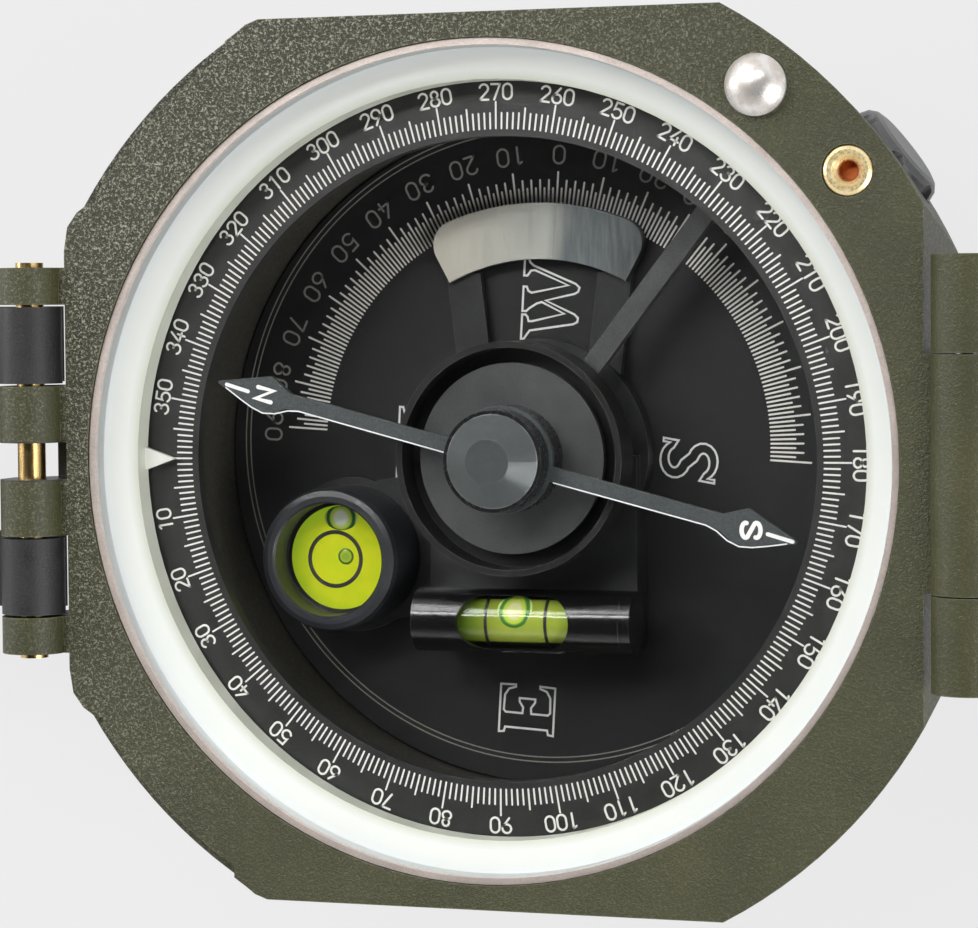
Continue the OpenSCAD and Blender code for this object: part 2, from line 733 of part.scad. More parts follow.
module dial_plate() {
  color(black)
  difference() {
    rod(cavity_r - side_gap, dial_bottom_z, dial_z);
    rod(clino_bush_r + seat_fit, 0, dial_z + cut);
    at_dial_screws() rod(dial_screw_r + seat_fit, 0, dial_z + cut);
  }
}

module dial_screws() {
  color(steel)
  at_dial_screws() {
    rod(dial_screw_r, dial_z - dial_screw_l, dial_z);
    rod(dial_head_r, dial_z, dial_z + dial_screw_r);
  }
}

// Gear outline with square teeth between two radii
function gear_points(count, r_low, r_high, width) = [
  for (i = [0 : count - 1])
    let (a = 360 * i / count, low = asin(width / 2 / r_low), high = asin(width / 2 / r_high))
      each [
        [r_low * cos(a - low), r_low * sin(a - low)], [r_high * cos(a - high), r_high * sin(a - high)],
        [r_high * cos(a + high), r_high * sin(a + high)], [r_low * cos(a + low), r_low * sin(a + low)]
      ]
];

module azimuth_ring() {
  color(black) {
    difference() {
      rod(ring_r, ring_bottom_z, ring_z);
      rod(ring_inner_r, 0, case_h);
    }
    difference() {
      translate([0, 0, tooth_bottom_z])
        rotate([0, 0, adjuster_angle + 180 / ring_teeth])
          linear_extrude(tooth_h)
            polygon(gear_points(ring_teeth, tooth_inner_r, tooth_outer_r, ring_tooth_w));
      rod(lip_r + side_gap, 0, case_h);
    }
  }
}

module pinion_shaft() {
  color(brass)
  at_bearing(adjuster_angle, 0)
  translate([0, 0, adjuster_z]) {
    translate([tooth_inner_r, 0, 0])
      rotate([0, 90, 0])
        linear_extrude(tooth_l)
          rotate([0, 0, 180])
            polygon(gear_points(pinion_teeth, pinion_root_r, pinion_tip_r, pinion_tooth_w));
    rod_x(adjuster_shaft_r, tooth_outer_r, knob_face_r + knob_h / 2);
  }
}

module adjuster_knob() {
  color([0.25, 0.25, 0.26])
  at_bearing(adjuster_angle, 0)
  translate([knob_face_r, 0, adjuster_z])
  rotate([0, 90, 0])
  difference() {
    rotate_extrude()
      polygon([[0, 0], [knob_r, 0], [knob_r, knob_h * 0.3], [knob_r * 0.95, knob_h * 0.65],
               [knob_r * 0.84, knob_h * 0.9], [knob_r * 0.7, knob_h], [0, knob_h]]);
    for (i = [0 : knob_lobes - 1])
      rotate([0, 0, knob_turn + 360 * i / knob_lobes])
        translate([knob_r + flute_r - flute_depth, 0, -cut])
          cylinder(r = flute_r, h = knob_h + 2 * cut);
    rod(adjuster_shaft_r + seat_fit, -cut, knob_h / 2);
  }
}

module lock_bush() {
  bore_r = lock_screw_r + run_fit;
  face_z = case_h - bush_face_t;
  color(brass)
  at_bearing(adjuster_angle, bush_pos_r)
  rotate_extrude()
    polygon([
      [bore_r, case_h - bush_l], [bush_r, case_h - bush_l], [bush_r, case_h - bush_lip_h],
      [bush_r - bush_lip_w, case_h + bush_lip_h], [bush_r - 2 * bush_lip_w, case_h + bush_lip_h],
      [bush_hole_r + bush_lip_h, case_h - bush_face_t * 0.25],
      [bush_hole_r, case_h - bush_face_t * 0.4], [bush_hole_r, face_z], [bore_r, face_z]
    ]);
}

module lock_screw() {
  low_z = adjuster_z + adjuster_shaft_r + run_fit;
  color(brass)
  at_bearing(adjuster_angle, bush_pos_r)
  rod(lock_screw_r, low_z, case_h - bush_face_t - side_gap);
}

// Half outline of the needle from its centre to one tip
function needle_side(sign) = [
  [sign * (needle_l - leaf_l - leaf_neck), needle_w / 2],
  [sign * (needle_l - leaf_l), leaf_w / 2],
  [sign * (needle_l - leaf_l * 0.35), leaf_w * 0.2],
  [sign * needle_l, 0.1]
];

function mirrored_y(points) = [for (i = [len(points) - 1 : -1 : 0]) [points[i][0], -points[i][1]]];

module needle_bar() {
  north = needle_side(1);
  south = needle_side(-1);
  half = concat([for (i = [3 : -1 : 0]) south[i]], north);
  color([0.2, 0.21, 0.22])
  difference() {
    union() {
      translate([0, 0, needle_bottom_z])
        rotate([0, 0, needle_turn])
          linear_extrude(needle_t)
            polygon(concat(half, mirrored_y(half)));
      rod(hub_flange_r, needle_bottom_z, needle_top_z);
    }
    rod(sleeve_r + seat_fit, 0, case_h);
  }
}

module needle_hub() {
  color(black)
  difference() {
    union() {
      rod(sleeve_r, magnet_top_z, hub_top_z);
      rod(hub_r, needle_top_z, hub_top_z);
      rod(hub_flange_r, magnet_top_z, needle_bottom_z);
    }
    rod(post_r + free_gap, 0, jewel_bottom_z);
    rod(jewel_r + seat_fit, 0, jewel_top_z);
  }
}

module needle_cap() {
  color([0.22, 0.23, 0.24])
  translate([0, 0, hub_top_z]) cylinder(r1 = cap_r, r2 = cap_top_r, h = cap_h);
}

module jewel_bearing() {
  color([0.7, 0.1, 0.2])
  difference() {
    rod(jewel_r, jewel_bottom_z, jewel_top_z);
    translate([0, 0, jewel_bottom_z - 0.01]) cylinder(r1 = jewel_r * 0.6, r2 = 0.05, h = jewel_pit);
  }
}

module magnet_disc() {
  color([0.28, 0.27, 0.27]) tube(magnet_r, post_r + free_gap, magnet_bottom_z, magnet_top_z);
}

module lifting_cup() {
  boss_r = hub_r - free_gap;
  color(black)
  difference() {
    rod(cup_r, cup_bottom_z, cup_rim_z);
    tube(cup_inner_r, boss_r, cup_floor_z, cup_rim_z + cut);
    rod(boss_r + cut, magnet_bottom_z - side_gap / 2, cup_rim_z + cut);
    rod(post_r + run_fit, 0, case_h);
  }
}

module lift_pin() {
  dome_base_z = case_h + lift_dome_h * 0.3;
  dome_rise = case_h + lift_dome_h - dome_base_z;
  dome_r = (lift_pin_r * lift_pin_r + dome_rise * dome_rise) / (2 * dome_rise);
  color(steel)
  at_bearing(lift_angle, lift_pos_r) {
    rod(lift_stem_r, lifter_top_z + side_gap / 2, case_h);
    intersection() {
      translate([0, 0, dome_base_z + dome_rise - dome_r]) sphere(r = dome_r);
      rod(lift_pin_r, dome_base_z - 0.1, case_h + 2 * lift_dome_h);
    }
    rod(lift_pin_r, lift_shoulder_z, dome_base_z);
  }
}

// Tube swept along a helix as one closed mesh
module coil(r, wire_r, height, turns, sides, steps) {
  rings = [
    for (i = [0 : turns * steps])
      let (a = 360 * i / steps, z = wire_r + (height - 2 * wire_r) * i / (turns * steps))
        [for (j = [0 : sides - 1])
          let (b = 360 * j / sides)
            [(r + wire_r * cos(b)) * cos(a), (r + wire_r * cos(b)) * sin(a), z + wire_r * sin(b)]]
  ];
  count = len(rings);
  points = [for (ring = rings) each ring];
  walls = [
    for (i = [0 : count - 2], j = [0 : sides - 1])
      let (k = (j + 1) % sides)
        each [[i * sides + j, (i + 1) * sides + j, (i + 1) * sides + k],
              [i * sides + j, (i + 1) * sides + k, i * sides + k]]
  ];
  caps = [[for (j = [0 : sides - 1]) j], [for (j = [sides - 1 : -1 : 0]) (count - 1) * sides + j]];
  polyhedron(points, concat(walls, caps));
}

module lift_spring() {
  clear = 0.03;
  mid_r = (lift_stem_r + lift_pin_r) / 2;
  color(steel)
  at_bearing(lift_angle, lift_pos_r)
  translate([0, 0, chamber_floor_z + clear])
    coil(mid_r, spring_wire / 2, lift_shoulder_z - chamber_floor_z - 2 * clear, spring_turns, 8, 16);
}

module lifter_lever() {
  color([0.18, 0.18, 0.18])
  at_bearing(lift_angle, 0)
  difference() {
    box([lifter_tip_r, -lifter_w / 2, lifter_bottom_z], [lifter_end_r, lifter_w / 2, lifter_top_z]);
    translate([lifter_pivot_r, 0, lifter_mid_z]) rod_y(lifter_pin_r + run_fit, -lifter_w, lifter_w);
  }
}

module lifter_pin() {
  color(steel)
  at_bearing(lift_angle, lifter_pivot_r)
  translate([0, 0, lifter_mid_z])
    rod_y(lifter_pin_r, -lifter_pin_l / 2 + seat_fit, lifter_pin_l / 2 - seat_fit);
}

module clinometer_bush() {
  color(brass) tube(clino_bush_r, clino_shaft_r + run_fit, lever_recess_h, dial_z + arm_plate_gap / 2);
}

module clinometer_shaft() {
  color(steel)
  difference() {
    union() {
      rod(clino_shaft_r, finger_top_z, cup_bottom_z - free_gap);
      rod(finger_neck_r, finger_neck_z, finger_top_z);
    }
    rod(finger_screw_r, 0, floor_t);
    rod(post_r + seat_fit, post_root_z, case_h);
  }
}

module pivot_post() {
  color(steel) {
    rod(post_r, post_root_z, post_tip_z - post_cone_h);
    translate([0, 0, post_tip_z - post_cone_h]) cylinder(r1 = post_r, r2 = 0.08, h = post_cone_h);
  }
}

// Points of an arc from one angle to another
function arc_points(centre, r, a0, a1, steps) =
  [for (i = [0 : steps]) let (a = a0 + (a1 - a0) * i / steps) centre + r * [cos(a), sin(a)]];

// Sector with rounded outer corners
module vernier_shape(z0, z1) {
  difference() {
    translate([0, 0, z0]) linear_extrude(z1 - z0) polygon(vernier_outline);
    rod(vernier_inner_r, 0, case_h);
  }
}

module clinometer_arm() {
  leg_foot_x = 5;
  leg_in_x = 3.2;
  fan = tan(vernier_half);
  color(black)
  difference() {
    union() {
      vernier_shape(arm_plate_z, arm_plate_top_z);
      translate([0, 0, arm_plate_z])
        linear_extrude(arm_plate_t)
          difference() {
            polygon([[-leg_foot_x - 1, 0], [leg_foot_x + 1, 0],
                     [vernier_inner_r * fan * 0.93, vernier_inner_r * 0.93],
                     [-vernier_inner_r * fan * 0.93, vernier_inner_r * 0.93]]);
            polygon([[-leg_in_x, 0], [leg_in_x, 0], [vernier_inner_r * fan * 0.62, vernier_inner_r + 1],
                     [-vernier_inner_r * fan * 0.62, vernier_inner_r + 1]]);
          }
      rod(clino_hub_r, arm_plate_z, arm_plate_top_z + block_h / 2);
      box([-block_half_w, -tube_y - tube_r, arm_plate_z], [block_half_w, 0, block_top_z]);
      box([-block_half_w, -tube_y - tube_r * 0.8, block_top_z],
          [block_half_w, -tube_y + tube_r * 0.8, tube_z - tube_r * 0.6]);
      translate([round_x, round_y, 0]) rod(round_r + 0.6, arm_plate_z, arm_plate_top_z);
      translate([0, 0, arm_plate_z])
        linear_extrude(arm_plate_t)
          polygon([[round_x, round_y + round_r], [round_x, round_y - round_r],
                   [-block_half_w, -tube_y], [0, 0]]);
    }
    rod(clino_shaft_r + seat_fit, 0, case_h);
    translate([0, -tube_y, tube_z]) rod_x(tube_r + seat_fit, -block_half_w - cut, block_half_w + cut);
    translate([round_x, round_y, 0]) rod(round_r + seat_fit, arm_plate_top_z, case_h);
    at_rivets() rod(rivet_r + seat_fit, 0, case_h);
  }
}

module vernier_plate() {
  color([0.62, 0.61, 0.58])
  difference() {
    vernier_shape(arm_plate_top_z, arm_plate_top_z + vernier_t);
    at_rivets() rod(rivet_r + seat_fit, 0, rivet_top_z + seat_fit);
  }
}

// Places of the two rivets under the vernier plate
module at_rivets() {
  for (angle = [90 - vernier_half * 0.7, 90 + vernier_half * 0.7])
    at_bearing(angle, (vernier_r + vernier_inner_r) / 2 - 0.4) children();
}

module vernier_rivets() {
  color([0.62, 0.61, 0.58]) at_rivets() rod(rivet_r, arm_plate_z, rivet_top_z);
}

module tube_housing() {
  inner_r = tube_r - tube_wall;
  slot_half = (tube_window_l - tube_window_w) / 2;
  color(black)
  translate([0, -tube_y, tube_z])
  difference() {
    rod_x(tube_r, -tube_l / 2, tube_l / 2);
    rod_x(inner_r, -tube_l / 2 - cut, tube_l / 2 + cut);
    translate([tube_window_x, 0, 0]) {
      box([-slot_half, -tube_window_w / 2, 0], [slot_half, tube_window_w / 2, tube_r + cut]);
      for (side = [-1, 1]) translate([side * slot_half, 0, 0]) rod(tube_window_w / 2, 0, tube_r + cut);
    }
  }
}

module tube_vial() {
  vial_r = tube_r - tube_wall - seat_fit;
  color([0.9, 0.95, 0.9, 0.4])
  translate([0, -tube_y, tube_z])
  difference() {
    rod_x(vial_r, -tube_l / 2 + 1, tube_l / 2 - 1);
    rod_x(vial_r - tube_vial_wall, -tube_l, tube_l);
  }
}

module tube_liquid() {
  color([0.7, 0.8, 0.15])
  translate([0, -tube_y, tube_z])
    rod_x(tube_r - tube_wall - tube_vial_wall - 2 * seat_fit, -tube_l / 2 + 1, tube_l / 2 - 1);
}

module tube_plugs() {
  plug_r = tube_r - tube_wall - seat_fit;
  color(black)
  translate([0, -tube_y, tube_z]) {
    rod_x(plug_r, -tube_l / 2, -tube_l / 2 + 1);
    rod_x(plug_r, tube_l / 2 - 1, tube_l / 2);
    rod_x(tube_r, tube_l / 2, tube_l / 2 + tube_block_l);
  }
}

module round_housing() {
  edge = 0.6;
  color(black)
  translate([round_x, round_y, 0])
  rotate_extrude()
    polygon([
      [round_r, arm_plate_top_z], [round_r, round_top_z - edge],
      [round_r - edge * 0.3, round_top_z - edge * 0.3], [round_r - edge, round_top_z],
      [round_bore_r + edge * 0.3, round_top_z], [round_bore_r, round_top_z - edge * 0.3],
      [round_bore_r, arm_plate_top_z]
    ]);
}

module round_vial() {
  color([0.9, 0.95, 0.9, 0.4])
  translate([round_x, round_y, 0])
  difference() {
    rod(round_bore_r - seat_fit, arm_plate_top_z, round_liquid_top_z);
    rod(round_liquid_r, round_liquid_top_z - round_liquid_h, case_h);
  }
}

module round_liquid() {
  color([0.7, 0.8, 0.15])
  translate([round_x, round_y, 0])
    rod(round_liquid_r - seat_fit, round_liquid_top_z - round_liquid_h, round_liquid_top_z);
}

module round_lens() {
  color([0.9, 0.95, 0.9, 0.4])
  translate([round_x, round_y, 0]) rod(round_bore_r - seat_fit, round_liquid_top_z, round_lens_top_z);
}

module finger_lever() {
  color(black)
  difference() {
    union() {
      rod(finger_w, finger_bottom_z, finger_top_z);
      box([-finger_w / 2, 0, finger_bottom_z], [finger_w / 2, finger_l - finger_w / 2, finger_top_z]);
      translate([0, finger_l - finger_w / 2, 0]) rod(finger_w / 2, finger_bottom_z, finger_top_z);
    }
    rod(finger_neck_r + seat_fit, finger_neck_z, case_h);
    rod(finger_screw_r + seat_fit, 0, case_h);
  }
}

module finger_screw() {
  color(steel)
  difference() {
    union() {
      rod(finger_screw_r - seat_fit, finger_bottom_z, 0.9 * floor_t);
      rod(2 * finger_screw_r, finger_bottom_z - finger_head_h, finger_bottom_z);
    }
    box([-finger_w, -0.2, 0], [finger_w, 0.2, finger_bottom_z - finger_head_h / 2]);
  }
}

module arm_hinge_pin() {
  half = arm_barrel_half + arm_pin_proud;
  color(brass) translate([arm_x, 0, hinge_z]) rod_y(arm_pin_r, -half, half);
}

// Plan of the sight arm from its hinge to its tip
module arm_plan() {
  tip = arm_tip_w / 2;
  polygon([
    [arm_x - riser_in, arm_knuckle_out], [arm_x - arm_l * 0.2, arm_knuckle_out],
    [arm_x - arm_l * 0.34, tip], [arm_end_x, tip],
    [arm_end_x, -tip], [arm_x - arm_l * 0.34, -tip],
    [arm_x - arm_l * 0.2, -arm_knuckle_out], [arm_x - riser_in, -arm_knuckle_out]
  ]);
}

module sight_arm() {
  plate_z = arm_top_z - arm_t;
  leaf_end_x = arm_end_x + peep_barrel_r + peep_l + side_gap;
  slot_x = leaf_end_x + arm_slot_gap;
  color(black)
  difference() {
    union() {
      translate([0, 0, plate_z]) linear_extrude(arm_t) arm_plan();
      for (side = [-1, 1]) {
        y0 = side > 0 ? arm_knuckle_in + side_gap / 2 : -arm_knuckle_out + side_gap / 2;
        y1 = side > 0 ? arm_knuckle_out - side_gap / 2 : -arm_knuckle_in - side_gap / 2;
        translate([arm_x, 0, hinge_z]) rod_y(arm_barrel_r, y0, y1);
        box([arm_x - riser_in - riser_t, y0, plate_z], [arm_x - riser_in, y1, hinge_z]);
      }
      translate([arm_end_x, 0, peep_z]) rod_y(peep_barrel_r, -arm_tip_w / 2, arm_tip_w / 2);
    }
    translate([arm_x, 0, hinge_z]) rod_y(arm_pin_r + run_fit, -corner_r, corner_r);
    box([arm_x - arm_notch_l, -arm_knuckle_in - side_gap / 2, plate_z - cut],
        [arm_x, arm_knuckle_in + side_gap / 2, arm_top_z + cut]);
    box([arm_end_x - corner_r, -peep_w / 2 - side_gap, plate_z - 2 * cut],
        [leaf_end_x, peep_w / 2 + side_gap, arm_top_z + cut]);
    box([slot_x, -arm_slot_w / 2, plate_z - cut], [slot_x + arm_slot_l, arm_slot_w / 2, arm_top_z + cut]);
    for (x = [slot_x, slot_x + arm_slot_l]) translate([x, 0, 0]) rod(arm_slot_w / 2, 0, case_h);
    translate([arm_end_x, 0, peep_z]) rod_y(peep_pin_r + seat_fit, -arm_tip_w, arm_tip_w);
  }
}

module peep_sight() {
  low_z = peep_z - peep_t / 2;
  top_z = peep_z + peep_t / 2;
  tip_x = arm_end_x + peep_l;
  color(black)
  difference() {
    union() {
      translate([arm_end_x, 0, peep_z]) rod_y(peep_barrel_r, -peep_w / 2, peep_w / 2);
      box([arm_end_x, -peep_w / 2, low_z], [tip_x - peep_corner_r, peep_w / 2, top_z]);
      box([tip_x - peep_corner_r - cut, -peep_w / 2 + peep_corner_r, low_z],
          [tip_x, peep_w / 2 - peep_corner_r, top_z]);
      for (side = [-1, 1])
        translate([tip_x - peep_corner_r, side * (peep_w / 2 - peep_corner_r), 0])
          rod(peep_corner_r, low_z, top_z);
    }
    translate([arm_end_x, 0, peep_z]) rod_y(peep_pin_r + run_fit, -peep_w, peep_w);
    translate([tip_x - peep_hole_in, 0, 0]) rod(peep_hole_r, 0, case_h);
    box([arm_end_x + peep_slit_in, -peep_slit_w / 2, 0],
        [tip_x - peep_hole_in - peep_slit_end, peep_slit_w / 2, case_h]);
  }
}

module peep_pin() {
  color(steel)
  translate([arm_end_x, 0, peep_z]) rod_y(peep_pin_r, -arm_tip_w / 2, arm_tip_w / 2);
}

module lid_hinge_pin() {
  color(steel)
  translate([lid_x, lid_hinge_y, hinge_z]) rod_y(lid_pin_r, -lid_barrel_half, lid_barrel_half);
}

// Sight window through the lid and the mirror
module window_cut() {
  half = (window_l - window_w) / 2;
  z0 = lid_bottom_z - cut;
  z1 = lid_top_z + cut;
  box([window_x - window_w / 2, -half, z0], [window_x + window_w / 2, half, z1]);
  for (side = [-1, 1]) translate([window_x, side * half, 0]) rod(window_w / 2, z0, z1);
}

module lid_knuckles() {
  for (side = [-1, 1]) {
    y0 = lid_hinge_y + (side > 0 ? lid_knuckle_half + side_gap / 2 : -lid_barrel_half);
    y1 = lid_hinge_y + (side > 0 ? lid_barrel_half : -lid_knuckle_half - side_gap / 2);
    translate([lid_x, 0, hinge_z]) rod_y(lid_barrel_r, y0, y1);
    plate_y([[half_x - cut, lid_bottom_z], [lid_x, lid_bottom_z], [lid_x, hinge_z + lid_barrel_r],
             [half_x - cut, lid_top_z]], y0, y1);
  }
}

module lid_shell() {
  pocket_top_z = lid_bottom_z + bezel_h + mirror_t;
  edge_z = lid_top_z - lid_edge;
  pin_end = leaf_sight_w / 2 + leaf_pin_out + seat_fit;
  color(olive)
  lid_opened()
  difference() {
    union() {
      square_round(corner_r, lid_bottom_z, edge_z);
      intersection() {
        translate([0, 0, edge_z]) cylinder(r1 = corner_r, r2 = corner_r - lid_edge, h = lid_edge);
        plate_y([[-half_x, edge_z], [half_x, edge_z], [half_x - lid_edge, lid_top_z],
                 [-half_x + lid_edge, lid_top_z]], -half_y, half_y);
      }
      lid_knuckles();
    }
    rod(mirror_r + bezel_w + seat_fit, lid_bottom_z - cut, pocket_top_z);
    rod(mirror_r - mirror_ledge, lid_bottom_z, lid_top_z - lid_wall);
    window_cut();
    at_bearing(lift_angle, lift_pos_r) rod(lift_pin_r + free_gap, 0, lid_bottom_z + lift_dome_h + free_gap);
    box([-half_x - cut, -leaf_sight_w / 2 - side_gap, lid_bottom_z - cut],
        [-mirror_r, leaf_sight_w / 2 + side_gap, lid_bottom_z + 2 * leaf_barrel_r + side_gap]);
    translate([leaf_hinge_x, 0, leaf_hinge_z]) rod_y(leaf_pin_r + seat_fit, -pin_end, pin_end);
    translate([lid_x, 0, hinge_z]) rod_y(lid_pin_r + run_fit, -corner_r, corner_r);
  }
}

module mirror_glass() {
  color([0.9, 0.93, 0.95])
  lid_opened()
  difference() {
    rod(mirror_r, lid_bottom_z + bezel_h, lid_bottom_z + bezel_h + mirror_t);
    window_cut();
  }
}

module mirror_bezel() {
  color(black)
  lid_opened()
  union() {
    tube(mirror_r + bezel_w, mirror_r - 0.4, lid_bottom_z, lid_bottom_z + bezel_h);
    tube(mirror_r + bezel_w, mirror_r + seat_fit, lid_bottom_z, lid_bottom_z + bezel_h + mirror_t);
  }
}

module lid_sight() {
  low_z = leaf_hinge_z - leaf_sight_t / 2;
  top_z = leaf_hinge_z + leaf_sight_t / 2;
  tip_x = leaf_hinge_x + leaf_sight_l;
  color([0.75, 0.75, 0.72])
  lid_opened()
  difference() {
    union() {
      translate([leaf_hinge_x, 0, leaf_hinge_z]) rod_y(leaf_barrel_r, -leaf_sight_w / 2, leaf_sight_w / 2);
      box([leaf_hinge_x, -leaf_sight_w / 2, low_z], [tip_x, leaf_sight_w / 2, top_z]);
    }
    translate([leaf_hinge_x, 0, leaf_hinge_z]) rod_y(leaf_pin_r + run_fit, -leaf_sight_w, leaf_sight_w);
    box([leaf_hinge_x + leaf_sight_l / 2, -leaf_slit_w / 2, 0], [tip_x + cut, leaf_slit_w / 2, 2 * case_h]);
  }
}

module lid_sight_pin() {
  pin_end = leaf_sight_w / 2 + leaf_pin_out;
  color(steel)
  lid_opened()
  translate([leaf_hinge_x, 0, leaf_hinge_z]) rod_y(leaf_pin_r, -pin_end, pin_end);
}

case_body();
spacer_ring();
cover_glass();
retaining_ring();
index_pointer();
dial_plate();
dial_screws();
azimuth_ring();
pinion_shaft();
adjuster_knob();
lock_bush();
lock_screw();
needle_bar();
needle_hub();
needle_cap();
jewel_bearing();
magnet_disc();
lifting_cup();
lift_pin();
lift_spring();
lifter_lever();
lifter_pin();
clinometer_bush();
clinometer_shaft();
pivot_post();
clinometer_arm();
vernier_plate();
vernier_rivets();
tube_housing();
tube_vial();
tube_liquid();
tube_plugs();
round_housing();
round_vial();
round_liquid();
round_lens();
finger_lever();
finger_screw();
arm_hinge_pin();
sight_arm();
peep_sight();
peep_pin();
lid_hinge_pin();
lid_shell();
mirror_glass();
mirror_bezel();
lid_sight();
lid_sight_pin();
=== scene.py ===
import math

import bpy
from mathutils import Matrix, Vector


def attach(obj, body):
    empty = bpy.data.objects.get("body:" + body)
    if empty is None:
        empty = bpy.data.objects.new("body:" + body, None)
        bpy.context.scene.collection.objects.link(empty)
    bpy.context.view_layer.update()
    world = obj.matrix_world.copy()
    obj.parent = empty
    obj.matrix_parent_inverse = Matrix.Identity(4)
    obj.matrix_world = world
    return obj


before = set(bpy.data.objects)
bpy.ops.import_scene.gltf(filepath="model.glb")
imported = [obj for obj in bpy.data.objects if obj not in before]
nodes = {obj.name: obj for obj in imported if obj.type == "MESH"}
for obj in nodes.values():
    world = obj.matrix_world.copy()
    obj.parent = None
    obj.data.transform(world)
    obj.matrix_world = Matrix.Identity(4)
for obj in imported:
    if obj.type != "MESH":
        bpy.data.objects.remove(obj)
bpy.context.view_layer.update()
scene = bpy.context.scene
scene.view_settings.view_transform = "Standard"

# Camera: a long lens above the case, a little towards the lid, as in the picture of the compass.
# It looks almost straight down, so the left wall of the dial's bowl shows and the right one
# doesn't. Its place and direction were fitted to the rings of the dial in the picture.
eye = Vector((0.07302, 0.01148, 0.25477))
look = Vector((-0.2981, -0.0475, -0.9534)).normalized()
up = Vector((0.9545, -0.0075, -0.2981)).cross(look).normalized()
right = look.cross(up).normalized()
FOCAL_PIXELS, PICTURE_PIXELS = 3200, 978
camera_data = bpy.data.cameras.new("camera")
camera_data.sensor_width = 36
camera_data.lens = camera_data.sensor_width * FOCAL_PIXELS / PICTURE_PIXELS
camera_data.clip_start = 0.01
camera = bpy.data.objects.new("camera", camera_data)
camera.matrix_world = Matrix((
    (right.x, up.x, -look.x, eye.x),
    (right.y, up.y, -look.y, eye.y),
    (right.z, up.z, -look.z, eye.z),
    (0, 0, 0, 1)))
scene.collection.objects.link(camera)
scene.camera = camera

# Studio: a pale table and a pale sky that is dark straight above, so that the cover glass stays
# clear. A softbox stands at the upper left, a low one on the left rakes over the paint's grain, one
# fills in from the lower right, and a long narrow one draws the stripe on the tube level.
backdrop = (0.836, 0.836, 0.836, 1)


def add(tree, kind, **values):
    """A shader node. in0, in1 and so on set its inputs, and the other values are its settings."""
    node = tree.nodes.new("ShaderNode" + kind)
    for key, value in values.items():
        if key.startswith("in"):
            node.inputs[int(key[2:])].default_value = value
        else:
            setattr(node, key, value)
    return node


def feed(tree, socket, value):
    """Sets a socket to a number or a colour, or links it to another node's output."""
    if isinstance(value, (int, float)):
        socket.default_value = value
    elif isinstance(value, tuple):
        socket.default_value = value + (1,)
    else:
        tree.links.new(value, socket)


def math_node(tree, operation, *values):
    """A Math node whose inputs are numbers or other nodes' outputs."""
    node = add(tree, "Math", operation=operation)
    for socket, value in zip(node.inputs, values):
        feed(tree, socket, value)
    return node.outputs[0]


def mix_shaders(tree, share, first, second):
    """first where share is 0 and second where it is 1."""
    node = add(tree, "MixShader")
    for socket, value in zip(node.inputs, (share, first.outputs[0], second.outputs[0])):
        feed(tree, socket, value)
    return node


def blank(name):
    """A material with nothing in it but its output."""
    material = bpy.data.materials.new(name)
    material.use_nodes = True
    tree = material.node_tree
    tree.nodes.clear()
    return material, tree, add(tree, "OutputMaterial")


def seen_by_eye(tree):
    """1 for rays from the camera, and for those that come off a gloss or through a glass."""
    path = add(tree, "LightPath")
    seen = math_node(tree, "MAXIMUM", path.outputs["Is Camera Ray"], path.outputs["Is Glossy Ray"])
    return math_node(tree, "MAXIMUM", seen, path.outputs["Is Transmission Ray"])


world = bpy.data.worlds.new("studio")
world.use_nodes = True
tree = world.node_tree
tree.nodes.clear()
out = add(tree, "OutputWorld")
direction = add(tree, "TexCoord")
split = add(tree, "SeparateXYZ")
tree.links.new(direction.outputs["Generated"], split.inputs[0])
sky = add(tree, "ValToRGB")
for element, position, grey in zip(sky.color_ramp.elements, (0.55, 0.82), (0.85, 0.012)):
    element.position = position
    element.color = (grey, grey, grey, 1)
tree.links.new(split.outputs[2], sky.inputs[0])
dim = add(tree, "Background")
tree.links.new(sky.outputs[0], dim.inputs[0])
pale = add(tree, "Background", in0=backdrop)
path = add(tree, "LightPath")
mix = mix_shaders(tree, path.outputs["Is Camera Ray"], dim, pale)
tree.links.new(mix.outputs[0], out.inputs[0])
scene.world = world

# Each lamp has its name, place, width, depth and power, and it points at the middle of the dial.
for name, place, size, depth, power in (
        ("key", (-0.30, 0.38, 0.40), 0.30, 0.30, 1.8),
        ("rake", (-0.52, 0.10, 0.20), 0.16, 0.16, 0.6),
        ("fill", (0.44, -0.22, 0.34), 0.40, 0.40, 2.1),
        ("stripe", (-0.08, 0.28, 0.54), 0.60, 0.06, 1.7)):
    lamp_data = bpy.data.lights.new(name, "AREA")
    lamp_data.shape = "RECTANGLE"
    lamp_data.energy = power
    lamp_data.size = size
    lamp_data.size_y = depth
    lamp = bpy.data.objects.new(name, lamp_data)
    lamp.location = place
    lamp.rotation_euler = (-lamp.location).to_track_quat("-Z", "Y").to_euler()
    scene.collection.objects.link(lamp)

# The table glows to the eye, so that it stays as pale as the backdrop. To all other rays it is
# plain matt.
TABLE_HALF, TABLE_SHADED = 2, 0.06
corners = [(x * TABLE_HALF, y * TABLE_HALF, 0) for x, y in ((-1, -1), (1, -1), (1, 1), (-1, 1))]
mesh = bpy.data.meshes.new("table")
mesh.from_pydata(corners, [], [(0, 1, 2, 3)])
table = bpy.data.objects.new("table", mesh)
scene.collection.objects.link(table)
material, tree, out = blank("table_white")
glow = add(tree, "Emission", in0=backdrop)
matt = add(tree, "BsdfDiffuse", in0=backdrop)
partly = mix_shaders(tree, TABLE_SHADED, glow, matt)
choose = mix_shaders(tree, seen_by_eye(tree), matt, partly)
tree.links.new(choose.outputs[0], out.inputs[0])
table.data.materials.append(material)

# Case: one casting with a round bowl, two stepped corners on the left and the lugs of both hinges.
# Its outside has a wrinkle finish in olive enamel, baked on, and the bowl is sprayed a flat dark
# brown. The gap between the left lugs is coloured the same brown as a painted shade.
MM = 0.001


